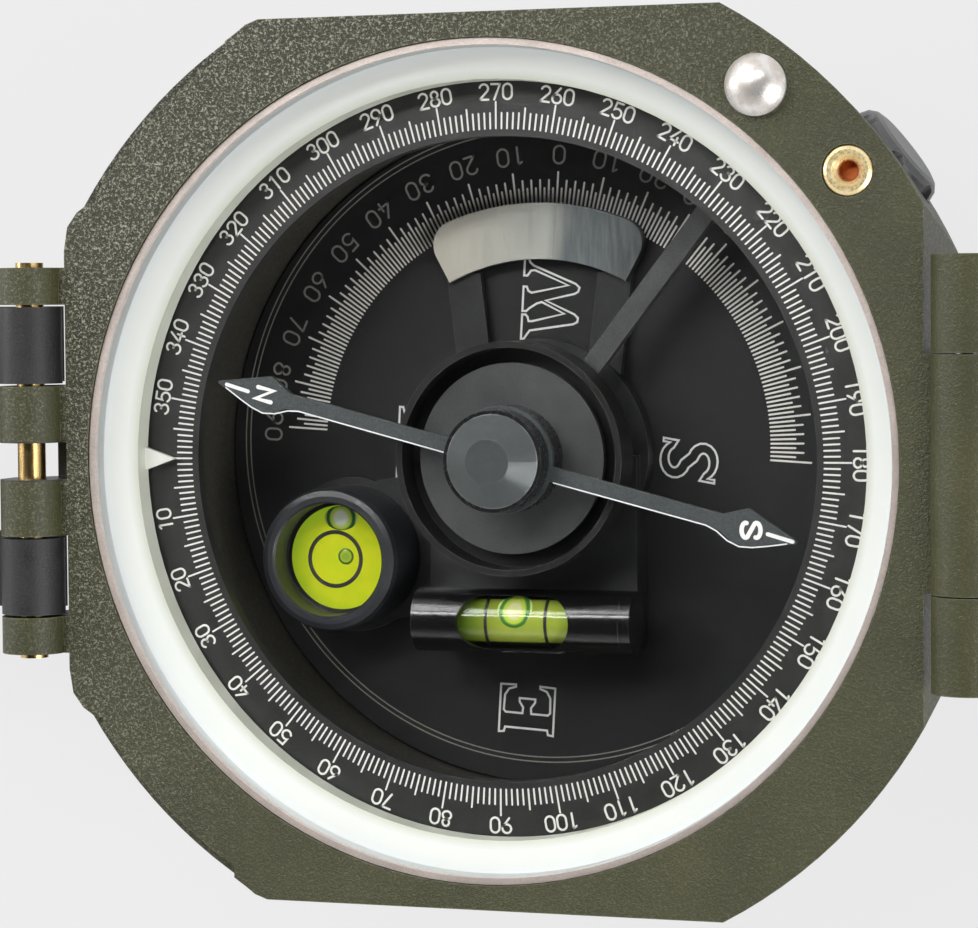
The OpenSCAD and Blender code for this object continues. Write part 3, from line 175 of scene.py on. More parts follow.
def node_group(name, inputs, outputs):
    """A group with float inputs {name: value} and outputs {name: kind}, and its two end nodes."""
    group = bpy.data.node_groups.new(name, "ShaderNodeTree")
    for key, value in inputs.items():
        socket = group.interface.new_socket(key, in_out="INPUT", socket_type="NodeSocketFloat")
        socket.default_value = value
    for key, kind in outputs.items():
        group.interface.new_socket(key, in_out="OUTPUT", socket_type="NodeSocket" + kind)
    return group, group.nodes.new("NodeGroupInput"), group.nodes.new("NodeGroupOutput")


def spread(tree, value, low, high, to_low=0.0, to_high=1.0):
    """Maps low..high to to_low..to_high, clamped."""
    node = add(tree, "MapRange", in1=low, in2=high, in3=to_low, in4=to_high)
    tree.links.new(value, node.inputs[0])
    return node.outputs[0]


def noise(tree, size_mm, detail=2.0, rough=0.5, twist=0.0, stretch=(1, 1, 1)):
    """A noise whose features are size_mm across, fixed to the piece."""
    place = add(tree, "TexCoord")
    grow = add(tree, "Mapping")
    grow.inputs["Scale"].default_value = [s / (size_mm * MM) for s in stretch]
    tree.links.new(place.outputs["Object"], grow.inputs["Vector"])
    node = add(tree, "TexNoise")
    node.inputs["Scale"].default_value = 1
    node.inputs["Detail"].default_value = detail
    node.inputs["Roughness"].default_value = rough
    node.inputs["Distortion"].default_value = twist
    tree.links.new(grow.outputs[0], node.inputs["Vector"])
    return node.outputs["Fac"]


def coordinates(tree):
    """X, Y and Z in the compass's own frame, in metres."""
    place = add(tree, "TexCoord")
    parts = add(tree, "SeparateXYZ")
    tree.links.new(place.outputs["Object"], parts.inputs[0])
    return parts.outputs


def radius_from(tree, x_mm, y_mm):
    """Distance from an upright axis, in millimetres."""
    x, y, _ = coordinates(tree)
    dx = math_node(tree, "SUBTRACT", x, x_mm * MM)
    dy = math_node(tree, "SUBTRACT", y, y_mm * MM)
    dx = math_node(tree, "MULTIPLY", dx, dx)
    dy = math_node(tree, "MULTIPLY", dy, dy)
    total = math_node(tree, "ADD", dx, dy)
    return math_node(tree, "MULTIPLY", math_node(tree, "SQRT", total), 1 / MM)


def blend_colour(tree, mask, first, second):
    """first where mask is 0 and second where it is 1. Each is a colour or another node's output."""
    node = add(tree, "Mix", data_type="RGBA")
    sockets = (node.inputs[0], node.inputs[6], node.inputs[7])
    for socket, value in zip(sockets, (mask, first, second)):
        feed(tree, socket, value)
    return node.outputs[2]


# edge_wear finds the edges of a solid, where the finish rubs off. Width is in millimetres.
edge_wear, given, sent = node_group("edge_wear", {"Width": 0.15, "Amount": 1.0}, {"Mask": "Float"})
rounded = add(edge_wear, "Bevel", samples=4)
true_side = add(edge_wear, "NewGeometry")
edge_wear.links.new(math_node(edge_wear, "MULTIPLY", given.outputs[0], MM),
                    rounded.inputs["Radius"])
cosine = add(edge_wear, "VectorMath", operation="DOT_PRODUCT")
edge_wear.links.new(rounded.outputs[0], cosine.inputs[0])
edge_wear.links.new(true_side.outputs["Normal"], cosine.inputs[1])
edge = spread(edge_wear, cosine.outputs["Value"], 0.99, 0.86)
broken = spread(edge_wear, noise(edge_wear, 1.6, detail=3), 0.35, 0.62)
edge = math_node(edge_wear, "MULTIPLY", edge, broken)
edge = math_node(edge_wear, "MULTIPLY", edge, given.outputs[1])
edge_wear.links.new(edge, sent.inputs[0])

# wrinkle is the leathery skin of the enamel: short folds and finer pits, with a mask for the
# crests, which enamel colours lighter as a painted highlight, and one for broad patches that are a
# little lighter or darker.
FOLD_SHARE, PIT_SHARE = 0.62, 0.38
wrinkle, _, sent = node_group("wrinkle", {},
                              {"Height": "Float", "Crest": "Float", "Patch": "Float"})
folds = noise(wrinkle, 0.24, rough=0.6, twist=0.6)
pits = noise(wrinkle, 0.13, detail=1.5, rough=0.6, twist=0.4)
body = math_node(wrinkle, "MULTIPLY", folds, FOLD_SHARE)
body = math_node(wrinkle, "ADD", body, math_node(wrinkle, "MULTIPLY", pits, PIT_SHARE))
wrinkle.links.new(body, sent.inputs["Height"])
wrinkle.links.new(spread(wrinkle, body, 0.50, 0.64), sent.inputs["Crest"])
wrinkle.links.new(spread(wrinkle, noise(wrinkle, 7), 0.3, 0.7), sent.inputs["Patch"])


def place_group(tree, group, **values):
    """A group in a tree, with values for its inputs."""
    node = tree.nodes.new("ShaderNodeGroup")
    node.node_tree = group
    for key, value in values.items():
        node.inputs[key].default_value = value
    return node


def principled(tree, out, colour, rough, metallic=0.0, **plain):
    """The piece's shader, linked to its output. Other inputs are named with _ for each space."""
    shader = add(tree, "BsdfPrincipled")
    feed(tree, shader.inputs["Base Color"], colour)
    feed(tree, shader.inputs["Roughness"], rough)
    feed(tree, shader.inputs["Metallic"], metallic)
    for key, value in plain.items():
        feed(tree, shader.inputs[key.replace("_", " ")], value)
    tree.links.new(shader.outputs[0], out.inputs[0])
    return shader


def emboss(tree, shader, height, depth_mm):
    """Bump of depth_mm on the shader."""
    bump = add(tree, "Bump")
    bump.inputs["Strength"].default_value = 1
    bump.inputs["Distance"].default_value = depth_mm * MM
    tree.links.new(height, bump.inputs["Height"])
    tree.links.new(bump.outputs[0], shader.inputs["Normal"])


def wear(node, material):
    """Gives a CAD node its finish."""
    for slot in nodes[node].material_slots:
        slot.material = material


# In millimetres: the bowl's radius and the height up to which it is brown, the gap between the left
# lugs that is painted brown as shade, and where the skin gets flatter on the lugs.
BOWL_R, BOWL_TOP_Z = 31.2, 23.9
GAP_X, GAP_HALF = -34.0, 1.58
LUG_FROM, LUG_TO = 34.2, 34.8


def enamel(name, bowl):
    """The olive wrinkle enamel; with bowl, also the dark brown bowl and a painted shade in the gap
    between the left lugs.

    Towards the upper left of the top face, and less so on the left lugs, the crests carry a
    brighter painted highlight and the valleys a deeper painted shade. On all lugs the skin is
    flatter.
    """
    material, tree, out = blank(name)
    skin = place_group(tree, wrinkle)
    worn = place_group(tree, edge_wear, Width=0.16, Amount=0.75)
    x, y, z = coordinates(tree)
    # Painted highlight and shade: on level faces towards the upper left, less on the left lugs, the
    # crests are coloured much brighter and the valleys darker.
    facing = add(tree, "NewGeometry")
    slant = add(tree, "SeparateXYZ")
    tree.links.new(facing.outputs["True Normal"], slant.inputs[0])
    level = math_node(tree, "GREATER_THAN", slant.outputs[2], 0.7)
    level = math_node(tree, "MULTIPLY", level, spread(tree, x, -35 * MM, -33 * MM, 0.2, 1))
    upper_left = math_node(tree, "SUBTRACT", math_node(tree, "MULTIPLY", y, 0.8), x)
    shine = math_node(tree, "MULTIPLY", level, spread(tree, upper_left, -5 * MM, 40 * MM))
    patch = skin.outputs["Patch"]
    # Painted highlight and shade: the crests of the skin are coloured lighter and its valleys
    # darker.
    shaded_valley = blend_colour(tree, patch, (0.030, 0.031, 0.009), (0.044, 0.044, 0.014))
    shaded_valley = blend_colour(tree, shine, shaded_valley, (0.020, 0.021, 0.007))
    lit_crest = blend_colour(tree, patch, (0.056, 0.055, 0.021), (0.080, 0.078, 0.032))
    lit_crest = blend_colour(tree, shine, lit_crest, (0.29, 0.285, 0.21))
    colour = blend_colour(tree, skin.outputs["Crest"], shaded_valley, lit_crest)
    colour = blend_colour(tree, worn.outputs[0], colour, (0.17, 0.17, 0.11))
    rough = spread(tree, skin.outputs["Crest"], 0, 1, 0.5, 0.33)
    height = skin.outputs["Height"]
    if bowl:
        near = math_node(tree, "LESS_THAN", radius_from(tree, 0, 0), BOWL_R)
        low = math_node(tree, "LESS_THAN", z, BOWL_TOP_Z * MM)
        bowl_and_gap_shade = math_node(tree, "MULTIPLY", near, low)
        # Painted shade: the gap between the left lugs is coloured the same brown as the bowl.
        outer = math_node(tree, "LESS_THAN", x, GAP_X * MM)
        slim = math_node(tree, "LESS_THAN", math_node(tree, "ABSOLUTE", y), GAP_HALF * MM)
        bowl_and_gap_shade = math_node(tree, "MAXIMUM", bowl_and_gap_shade, math_node(tree, "MULTIPLY", outer, slim))
        speckle = spread(tree, noise(tree, 0.5, detail=3), 0.3, 0.7)
        brown = blend_colour(tree, speckle, (0.024, 0.023, 0.018), (0.048, 0.046, 0.036))
        colour = blend_colour(tree, bowl_and_gap_shade, colour, brown)
        smooth = math_node(tree, "SUBTRACT", 1, math_node(tree, "MULTIPLY", bowl_and_gap_shade, 0.85))
        height = math_node(tree, "MULTIPLY", height, smooth)
    lugs = spread(tree, math_node(tree, "ABSOLUTE", x), LUG_FROM * MM, LUG_TO * MM, 1, 0.35)
    height = math_node(tree, "MULTIPLY", height, lugs)
    emboss(tree, principled(tree, out, colour, rough), height, 0.2)
    return material


wear("case_body", enamel("olive_wrinkle_enamel", True))

# Dial plate: a sheet of black anodised metal on the floor of the bowl, held by three steel screws
# that the azimuth ring hides. Its scale and letters are printed in a pale ink and its numbers in
# a dim grey one.


def finish(name, colour, roughness=0.45, metallic=0.0, grain=0.25, relief=0.01, tone=0.25,
           worn=None, amount=0.6, width=0.12, stretch=(1, 1, 1), **plain):
    """A sprayed, plated or turned finish: fine grain, uneven tone and rubbed edges.

    Grain, relief and the width of the worn edges are in millimetres, and tone is a share.
    """
    material, tree, out = blank(name)
    fine = noise(tree, grain, detail=3, rough=0.55, stretch=stretch)
    broad = spread(tree, noise(tree, grain * 14, detail=3, rough=0.6), 0.3, 0.7)
    mark = spread(tree, fine, 0.3, 0.7)
    low = tuple(c * (1 - tone) for c in colour)
    high = tuple(min(1, c * (1 + tone)) for c in colour)
    both = math_node(tree, "ADD", math_node(tree, "MULTIPLY", mark, 0.6),
                     math_node(tree, "MULTIPLY", broad, 0.4))
    shade = blend_colour(tree, both, low, high)
    if worn:
        rubbed = place_group(tree, edge_wear, Width=width, Amount=amount)
        shade = blend_colour(tree, rubbed.outputs[0], shade, worn)
    rough = spread(tree, both, 0, 1, max(0.02, roughness * 0.82), min(1, roughness * 1.18))
    emboss(tree, principled(tree, out, shade, rough, metallic, **plain), fine, relief)
    return material


steel = finish("plain_steel", (0.56, 0.56, 0.57), roughness=0.26, metallic=1.0, grain=0.12,
               relief=0.003, tone=0.12)
wear("dial_plate", finish("black_anodised", (0.0098, 0.0100, 0.0102), roughness=0.5, grain=0.12,
                          relief=0.006, tone=0.3, Specular_IOR_Level=0.3))
wear("dial_screws", steel)


def ink(name, colour, rub=0.35):
    """Printed ink, thin in places."""
    material, tree, out = blank(name)
    thin = spread(tree, noise(tree, 0.09, detail=3, rough=0.7), 0.36, 0.56)
    patch = spread(tree, noise(tree, 2.5), 0.3, 0.75)
    faded = tuple(c * (1 - rub) for c in colour)
    shade = blend_colour(tree, thin, faded, colour)
    shade = blend_colour(tree, math_node(tree, "MULTIPLY", patch, 0.3), shade, faded)
    emboss(tree, principled(tree, out, shade, 0.6), thin, 0.004)
    return material


INK_T, CAP_STEPS = 0.02, 5


def print_on(name, strokes, width, z, body, material):
    """Prints strokes as raised lines of ink with round ends, level at height z.

    Each stroke is (points, closed), and all is in millimetres.
    """
    verts, faces = [], []

    def corner(x, y):
        verts.append((x * MM, y * MM, (z + INK_T) * MM))
        return len(verts) - 1

    for points, closed in strokes:
        points = [Vector(p).to_2d() for p in points]
        count = len(points)
        rows = []
        for i, here in enumerate(points):
            before = points[i - 1] if i or closed else None
            after = points[(i + 1) % count] if i < count - 1 or closed else None
            ways = []
            if before is not None:
                ways.append((here - before).normalized())
            if after is not None:
                ways.append((after - here).normalized())
            way = sum(ways, Vector((0, 0))).normalized()
            bend = max(0.5, way.dot(ways[0]))
            side = Vector((-way.y, way.x)) * width / 2 / bend
            rows.append((corner(*(here + side)), corner(*(here - side))))
        pairs = list(zip(rows, rows[1:])) + ([(rows[-1], rows[0])] if closed else [])
        for (a, b), (c, d) in pairs:
            faces.append((a, b, d, c))
        if not closed:
            for end, row, start in ((0, rows[0], 90), (-1, rows[-1], -90)):
                inner = points[1] - points[0] if end == 0 else points[-1] - points[-2]
                base = math.degrees(math.atan2(inner.y, inner.x)) + start
                ring = [row[0] if end == 0 else row[1]]
                for k in range(1, CAP_STEPS):
                    a = math.radians(base + k * 180 / CAP_STEPS)
                    tip = points[end] + Vector((math.cos(a), math.sin(a))) * width / 2
                    ring.append(corner(*tip))
                ring.append(row[1] if end == 0 else row[0])
                faces.append(tuple(ring))
    mesh = bpy.data.meshes.new(name)
    mesh.from_pydata(verts, [], faces)
    piece = bpy.data.objects.new(name, mesh)
    scene.collection.objects.link(piece)
    thick = piece.modifiers.new("ink", "SOLIDIFY")
    thick.thickness = 1.5 * INK_T * MM
    thick.offset = -1
    mesh.materials.append(material)
    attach(piece, body)


def arc(cx, cy, rx, ry, start, stop, steps=10):
    """Points on an ellipse from one angle to another, in degrees."""
    turn = [math.radians(start + (stop - start) * i / steps) for i in range(steps + 1)]
    return [(cx + rx * math.cos(a), cy + ry * math.sin(a)) for a in turn]


# The figures are engraver's single-line numerals, one unit high and 0.58 wide.
DIGIT_W = 0.58
numerals = {
    "0": [(arc(0.29, 0.68, 0.27, 0.32, 0, 180) + arc(0.29, 0.32, 0.27, 0.32, 180, 360), True)],
    "1": [([(0.16, 0.86), (0.34, 1)], False), ([(0.34, 1), (0.34, 0)], False)],
    "2": [(arc(0.29, 0.72, 0.26, 0.28, 165, -38) + [(0.04, 0)], False),
          ([(0.04, 0), (0.57, 0)], False)],
    "3": [(arc(0.28, 0.755, 0.23, 0.245, 160, -90), False),
          (arc(0.27, 0.27, 0.28, 0.27, 90, -160), False)],
    "4": [([(0.42, 1), (0.02, 0.27)], False), ([(0.02, 0.27), (0.58, 0.27)], False),
          ([(0.44, 0.52), (0.44, 0)], False)],
    "5": [([(0.52, 1), (0.12, 1), (0.08, 0.53)] + arc(0.28, 0.31, 0.28, 0.31, 125, -150), False)],
    "6": [(arc(0.29, 0.29, 0.27, 0.29, 150, 485, 14), True), ([(0.44, 1), (0.06, 0.42)], False)],
    "7": [([(0.02, 1), (0.56, 1)], False), ([(0.56, 1), (0.2, 0)], False)],
    "8": [(arc(0.29, 0.76, 0.21, 0.24, 0, 345), True), (arc(0.29, 0.27, 0.27, 0.27, 0, 345), True)],
    "9": [(arc(0.29, 0.71, 0.27, 0.29, -30, 305, 14), True), ([(0.52, 0.58), (0.14, 0)], False)],
}


def number_at(text, bearing, distance, tall, wide, outward, pitch=0.72, centre=(0, 0)):
    """Strokes of a number whose middle is at a bearing and distance, its tops outward or inward."""
    a = math.radians(bearing)
    radial = Vector((math.cos(a), math.sin(a)))
    tops = radial if outward else -radial
    along = Vector((tops.y, -tops.x))
    start = -(pitch * (len(text) - 1) + DIGIT_W) / 2
    result = []
    for index, char in enumerate(text):
        for points, closed in numerals[char]:
            moved = []
            for u, v in points:
                spot = (radial * distance + along * (start + index * pitch + u) * wide
                        + tops * (v - 0.5) * tall)
                moved.append((spot.x + centre[0], spot.y + centre[1]))
            result.append((moved, closed))
    return result


def tick(bearing, inner, outer, centre=(0, 0)):
    """A straight stroke along a radius."""
    a = math.radians(bearing)
    return ([(centre[0] + r * math.cos(a), centre[1] + r * math.sin(a)) for r in (inner, outer)],
            False)


DIAL_Z = 6.0
DIAL_TURN = -3.5
SCALE_TOP = 90 + DIAL_TURN
SCALE_R, SCALE_NUMBER_R, RIM_LINE_RS = 18.75, 23.4, (25.45, 25.85)
SCALE_MIDDLE = (0.05, 0.72)
pale_ink = ink("pale_ink", (0.98, 0.96, 0.89), rub=0.15)
scale_lines = []
for degree in range(-90, 91):
    length = 3.25 if degree % 10 == 0 else 2.6 if degree % 2 == 0 else 1.95
    scale_lines.append(tick(SCALE_TOP + degree, SCALE_R, SCALE_R + length, SCALE_MIDDLE))
print_on("dial_scale", scale_lines, width=0.155, z=DIAL_Z, body="case", material=pale_ink)
scale_numbers = []
for degree in range(-90, 91, 10):
    scale_numbers += number_at(str(abs(degree)), SCALE_TOP + degree, SCALE_NUMBER_R, tall=1.42,
                               wide=1.68, outward=False, pitch=0.8, centre=SCALE_MIDDLE)
print_on("dial_scale_numbers", scale_numbers, width=0.17, z=DIAL_Z, body="case",
         material=ink("grey_ink", (0.30, 0.295, 0.27)))
rim_lines = [(arc(*SCALE_MIDDLE, r, r, 0, 360, 180)[:-1], True) for r in RIM_LINE_RS]
print_on("dial_rim_lines", rim_lines, width=0.1, z=DIAL_Z, body="case",
         material=ink("rim_grey", (0.26, 0.255, 0.22)))

LETTER_TALL = 4.7


def letter(points, x, y):
    """A closed outline in letter units (right, up), turned so that its top points to the left."""
    a = math.radians(DIAL_TURN)
    moved = []
    for u, v in points:
        px = x - v * LETTER_TALL
        py = y + u * LETTER_TALL
        moved.append((px * math.cos(a) - py * math.sin(a), px * math.sin(a) + py * math.cos(a)))
    return (moved, True)


def mirrored(points):
    """The lower half of a letter whose upper half is given, in reverse order."""
    return [(u, -v) for u, v in reversed(points)]


w_left = [(-0.70, 0.45), (-0.70, 0.5), (-0.28, 0.5), (-0.28, 0.44), (-0.32, 0.40), (-0.39, 0.38),
          (-0.39, 0.32), (-0.23, -0.25)]
w_middle = [(-0.05, 0.16), (-0.08, 0.25), (-0.17, 0.38), (-0.22, 0.43), (-0.22, 0.5), (0.20, 0.5),
            (0.20, 0.44), (0.13, 0.41), (0.10, 0.35), (0.26, -0.30)]
w_right = [(0.49, 0.31), (0.48, 0.38), (0.42, 0.42), (0.39, 0.44), (0.39, 0.5), (0.72, 0.5),
           (0.72, 0.44), (0.62, 0.40), (0.57, 0.34), (0.29, -0.43), (0.23, -0.5), (0.16, -0.48),
           (0.12, -0.42), (-0.02, 0.09), (-0.23, -0.43), (-0.29, -0.5), (-0.36, -0.49),
           (-0.40, -0.42), (-0.55, 0.35), (-0.62, 0.40)]
e_half = [(-0.43, 0.49), (0.40, 0.49), (0.41, 0.22), (0.37, 0.22), (0.33, 0.34), (0.22, 0.41),
          (-0.04, 0.42), (-0.08, 0.38), (-0.08, 0.08), (0.02, 0.07), (0.12, 0.14), (0.18, 0.14)]
e_tail = [(-0.34, 0.38), (-0.42, 0.40)]


def serif_s():
    """The outline of an S with a beak at each end."""
    middle = (arc(0.02, 0.245, 0.24, 0.185, 20, 250, 12)
              + arc(-0.02, -0.245, 0.24, 0.185, 70, -160, 12))
    left, right = [], []
    for i, (u, v) in enumerate(middle):
        u0, v0 = middle[max(0, i - 1)]
        u1, v1 = middle[min(len(middle) - 1, i + 1)]
        way = Vector((u1 - u0, v1 - v0)).normalized()
        share = i / (len(middle) - 1)
        half = 0.055 + 0.035 * math.sin(math.pi * share)
        left.append((u - way.y * half, v + way.x * half))
        right.append((u + way.y * half, v - way.x * half))
    head = [(0.33, 0.20), (0.36, 0.46), (0.30, 0.46)]
    tail = [(-0.33, -0.20), (-0.36, -0.46), (-0.30, -0.46)]
    return right + tail + left[::-1] + head


n_shape = [(-0.68, 0.5), (-0.34, 0.5), (0.32, -0.28), (0.32, 0.38), (0.16, 0.44), (0.16, 0.5),
           (0.68, 0.5), (0.68, 0.44), (0.50, 0.38), (0.50, -0.5), (0.36, -0.5), (-0.38, 0.36),
           (-0.38, -0.38), (-0.20, -0.44), (-0.20, -0.5), (-0.68, -0.5), (-0.68, -0.44),
           (-0.52, -0.38), (-0.52, 0.38), (-0.68, 0.44)]
# Each letter, with its place on the dial in millimetres before the dial's turn.
letters = [letter(w_left + w_middle + w_right, -0.06, 12.45),
           letter(e_half + mirrored(e_half) + mirrored(e_tail) + e_tail, -0.27, -20.9),
           letter(serif_s(), 12.1, 0.24),
           letter(n_shape, -10.1, -0.2)]
print_on("dial_letters", letters, width=0.17, z=DIAL_Z, body="case",
         material=ink("letter_ink", (0.93, 0.93, 0.90), rub=0.15))

# Clinometer: a two-legged arm on a shaft through the floor, turned by a lever under the base. A
# plate of satin metal with one index line is riveted to its end and carries the two levels.
clino_black = finish("clinometer_black", (0.020, 0.0205, 0.021), roughness=0.34, grain=0.2,
                     relief=0.006, tone=0.35, worn=(0.16, 0.16, 0.155), amount=0.5)
wear("clinometer_arm", clino_black)
wear("clinometer_bush", finish("floor_bush_brass", (0.60, 0.42, 0.16), roughness=0.3, metallic=1.0,
                               grain=0.15, relief=0.004))
for node in ("clinometer_shaft", "pivot_post"):
    wear(node, steel)

material, tree, out = blank("vernier_satin_metal")
x, y, _ = coordinates(tree)
# Painted light: the colour changes with the bearing about the dial's axis, a painted highlight on
# the left where the turned metal would catch the light, and painted shade towards the right.
bearing = math_node(tree, "ARCTAN2", x, y)
lit_sector = spread(tree, bearing, -0.45, -0.02)
shaded_sector = spread(tree, bearing, 0.05, 0.16)
darker_shaded_sector = spread(tree, bearing, 0.30, 0.46)
streaks = noise(tree, 0.35, detail=3, rough=0.6, stretch=(1, 0.12, 1))
shade = blend_colour(tree, lit_sector, (0.56, 0.53, 0.45), (0.40, 0.41, 0.37))
shade = blend_colour(tree, shaded_sector, shade, (0.105, 0.124, 0.130))
shade = blend_colour(tree, darker_shaded_sector, shade, (0.085, 0.098, 0.102))
shade = blend_colour(tree, spread(tree, streaks, 0.35, 0.75, 0, 0.22), shade, (0.42, 0.41, 0.38))
rough = spread(tree, streaks, 0.3, 0.7, 0.32, 0.46)
emboss(tree, principled(tree, out, shade, rough, 0.35), streaks, 0.004)
wear("vernier_plate", material)
wear("vernier_rivets", finish("rivet_metal", (0.32, 0.32, 0.3), roughness=0.3, metallic=1.0,
                              grain=0.15, relief=0.003))
VERNIER_Z = 7.6
index_line = [([(1.20, 15.85), (1.62, 20.05)], False)]
print_on("vernier_index_line", index_line, width=0.12, z=VERNIER_Z, body="clinometer",
         material=ink("index_grey", (0.42, 0.42, 0.40)))

# Tube level: a glass vial of yellow-green spirit in a gloss black tube with a window on top. Two
# black lines are printed round the vial, and the bubble rests between them.
gloss_black = finish("gloss_black_enamel", (0.006, 0.006, 0.0065), roughness=0.16, grain=0.5,
                     relief=0.004, tone=0.3, worn=(0.12, 0.12, 0.12), amount=0.35, width=0.1,
                     Coat_Weight=0.5, Coat_Roughness=0.08)
for node in ("tube_housing", "tube_plugs"):
    wear(node, gloss_black)


def clear(name, tint, ior):
    """Glass that lamps shine through."""
    material, tree, out = blank(name)
    shader = add(tree, "BsdfPrincipled")
    shader.inputs["Base Color"].default_value = tint + (1,)
    shader.inputs["Roughness"].default_value = 0
    shader.inputs["IOR"].default_value = ior
    shader.inputs["Transmission Weight"].default_value = 1
    emboss(tree, shader, noise(tree, 9, detail=3), 0.004)
    open_way = add(tree, "BsdfTransparent")
    path = add(tree, "LightPath")
    lit = math_node(tree, "MAXIMUM", path.outputs["Is Shadow Ray"], path.outputs["Is Diffuse Ray"])
    choose = mix_shaders(tree, lit, shader, open_way)
    tree.links.new(choose.outputs[0], out.inputs[0])
    return material


vial_glass = clear("vial_glass", (0.97, 0.99, 0.95), ior=1.4)
for node in ("tube_vial", "round_lens"):
    wear(node, vial_glass)


def spirit(name, x_mm, y_mm, reach_mm, dark, glow, low, high):
    """Yellow-green spirit with a painted glow, and painted shade: greener towards the wall of its
    vial and darker on the left.
    """
    material, tree, out = blank(name)
    swirl = noise(tree, 2.2, detail=3, rough=0.55, twist=1.0)
    # Painted shade: greener towards the vial's wall and darker towards the left. The emission is a
    # painted glow.
    away = spread(tree, radius_from(tree, x_mm, y_mm), reach_mm * 0.55, reach_mm)
    x, _, _ = coordinates(tree)
    shaded_left = spread(tree, x, (x_mm - reach_mm) * MM, (x_mm - reach_mm * 0.2) * MM, dark, 0)
    colour = blend_colour(tree, spread(tree, swirl, 0.3, 0.7), low, high)
    colour = blend_colour(tree, away, colour, (0.20, 0.36, 0.018))
    colour = blend_colour(tree, shaded_left, colour, (0.03, 0.05, 0.005))
    shader = principled(tree, out, colour, 0.12, IOR=1.36, Emission_Color=colour,
                        Emission_Strength=glow)
    emboss(tree, shader, swirl, 0.01)
    return material


TUBE_Y, TUBE_Z, SPIRIT_R = -13.0, 12.4, 1.71
wear("tube_liquid", spirit("tube_spirit", 0.4, TUBE_Y - 0.4, reach_mm=5.4, dark=0.95, glow=0.05,
                           low=(0.27, 0.35, 0.05), high=(0.35, 0.41, 0.055)))


def skin_piece(name, verts, faces, thick_mm, body, material, smooth=True):
    """A thin piece made of a sheet of faces and given a thickness."""
    mesh = bpy.data.meshes.new(name)
    mesh.from_pydata([[c * MM for c in v] for v in verts], [], faces)
    if smooth:
        mesh.polygons.foreach_set("use_smooth", [True] * len(mesh.polygons))
    mesh.materials.append(material)
    piece = bpy.data.objects.new(name, mesh)
    scene.collection.objects.link(piece)
    thick = piece.modifiers.new("thickness", "SOLIDIFY")
    thick.thickness = thick_mm * MM
    thick.offset = 1
    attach(piece, body)


def grid_faces(rows, columns, wrap=False):
    """Faces of a grid of points in rows."""
    faces = []
    for i in range(rows - 1):
        for j in range(columns if wrap else columns - 1):
            k = (j + 1) % columns
            faces.append((i * columns + j, i * columns + k, (i + 1) * columns + k,
                          (i + 1) * columns + j))
    return faces


black_line = finish("vial_line_black", (0.006, 0.006, 0.006), roughness=0.5, grain=0.1,
                    relief=0.002)
LINE_W, LINE_R, LINE_STEPS = 0.26, 1.72, 40
for name, place in (("tube_line_west", -2.48), ("tube_line_east", 2.42)):
    verts = []
    for i in range(2):
        for j in range(LINE_STEPS + 1):
            a = math.radians(-10 + 200 * j / LINE_STEPS)
            verts.append((place + (i - 0.5) * LINE_W,
                          TUBE_Y + LINE_R * math.cos(a), TUBE_Z + LINE_R * math.sin(a)))
    skin_piece(name, verts, grid_faces(2, LINE_STEPS + 1), thick_mm=0.02, body="clinometer",
               material=black_line, smooth=False)


def bubble(name, x_mm, y_mm, reach_mm, lit_heart, rim):
    """An air bubble under glass, all painted light: a bright painted highlight in the middle,
    painted green shade round it, a dark ring, a pale painted highlight at the edge and a painted
    glow.
    """
    material, tree, out = blank(name)
    away = math_node(tree, "DIVIDE", radius_from(tree, x_mm, y_mm), reach_mm)
    # Painted light: bright in the middle, green shade round it, a dark ring and a pale highlight at
    # the edge. The emission is a painted glow.
    shade = blend_colour(tree, spread(tree, away, 0.35, 0.55), lit_heart, (0.44, 0.56, 0.06))
    shade = blend_colour(tree, spread(tree, away, 0.62, 0.72), shade, rim)
    shade = blend_colour(tree, spread(tree, away, 0.86, 0.93), shade, (0.62, 0.74, 0.25))
    shader = principled(tree, out, shade, 0.06, IOR=1.45, Emission_Color=shade,
                        Emission_Strength=0.12)
    emboss(tree, shader, noise(tree, 0.8, detail=1), 0.01)
    return material


# The bubble is a shallow blister on the spirit. It reaches from one angle to another about the
# tube's axis, and AIR_GAP keeps it clear of the spirit below.
RINGS, SPOKES, AIR_GAP = 7, 32, 0.012
BUBBLE_X, BUBBLE_SPAN, BUBBLE_LOW, BUBBLE_HIGH = -0.12, 1.42, -12, 84


def blister_steps():
    """The share of the way out and the angle of each point of a blister, ring by ring."""
    for i in range(RINGS):
        for j in range(SPOKES):
            yield max(0.02, i / (RINGS - 1)), 2 * math.pi * j / SPOKES


middle = math.radians((BUBBLE_LOW + BUBBLE_HIGH) / 2)
half = math.radians((BUBBLE_HIGH - BUBBLE_LOW) / 2)
verts = []
for share, t in blister_steps():
    r = SPIRIT_R + AIR_GAP + 0.03 * (1 - share * share)
    a = middle + half * share * math.cos(t)
    verts.append((BUBBLE_X + BUBBLE_SPAN * share * math.sin(t),
                  TUBE_Y + r * math.sin(a), TUBE_Z + r * math.cos(a)))
faces = [tuple(range(SPOKES))[::-1]] + grid_faces(RINGS, SPOKES, True)
tube_air = bubble("tube_bubble_air", BUBBLE_X, TUBE_Y + 0.85, reach_mm=1.42,
                  lit_heart=(0.60, 0.60, 0.30), rim=(0.06, 0.20, 0.04))
skin_piece("tube_bubble", verts, faces, thick_mm=0.008, body="clinometer", material=tube_air)

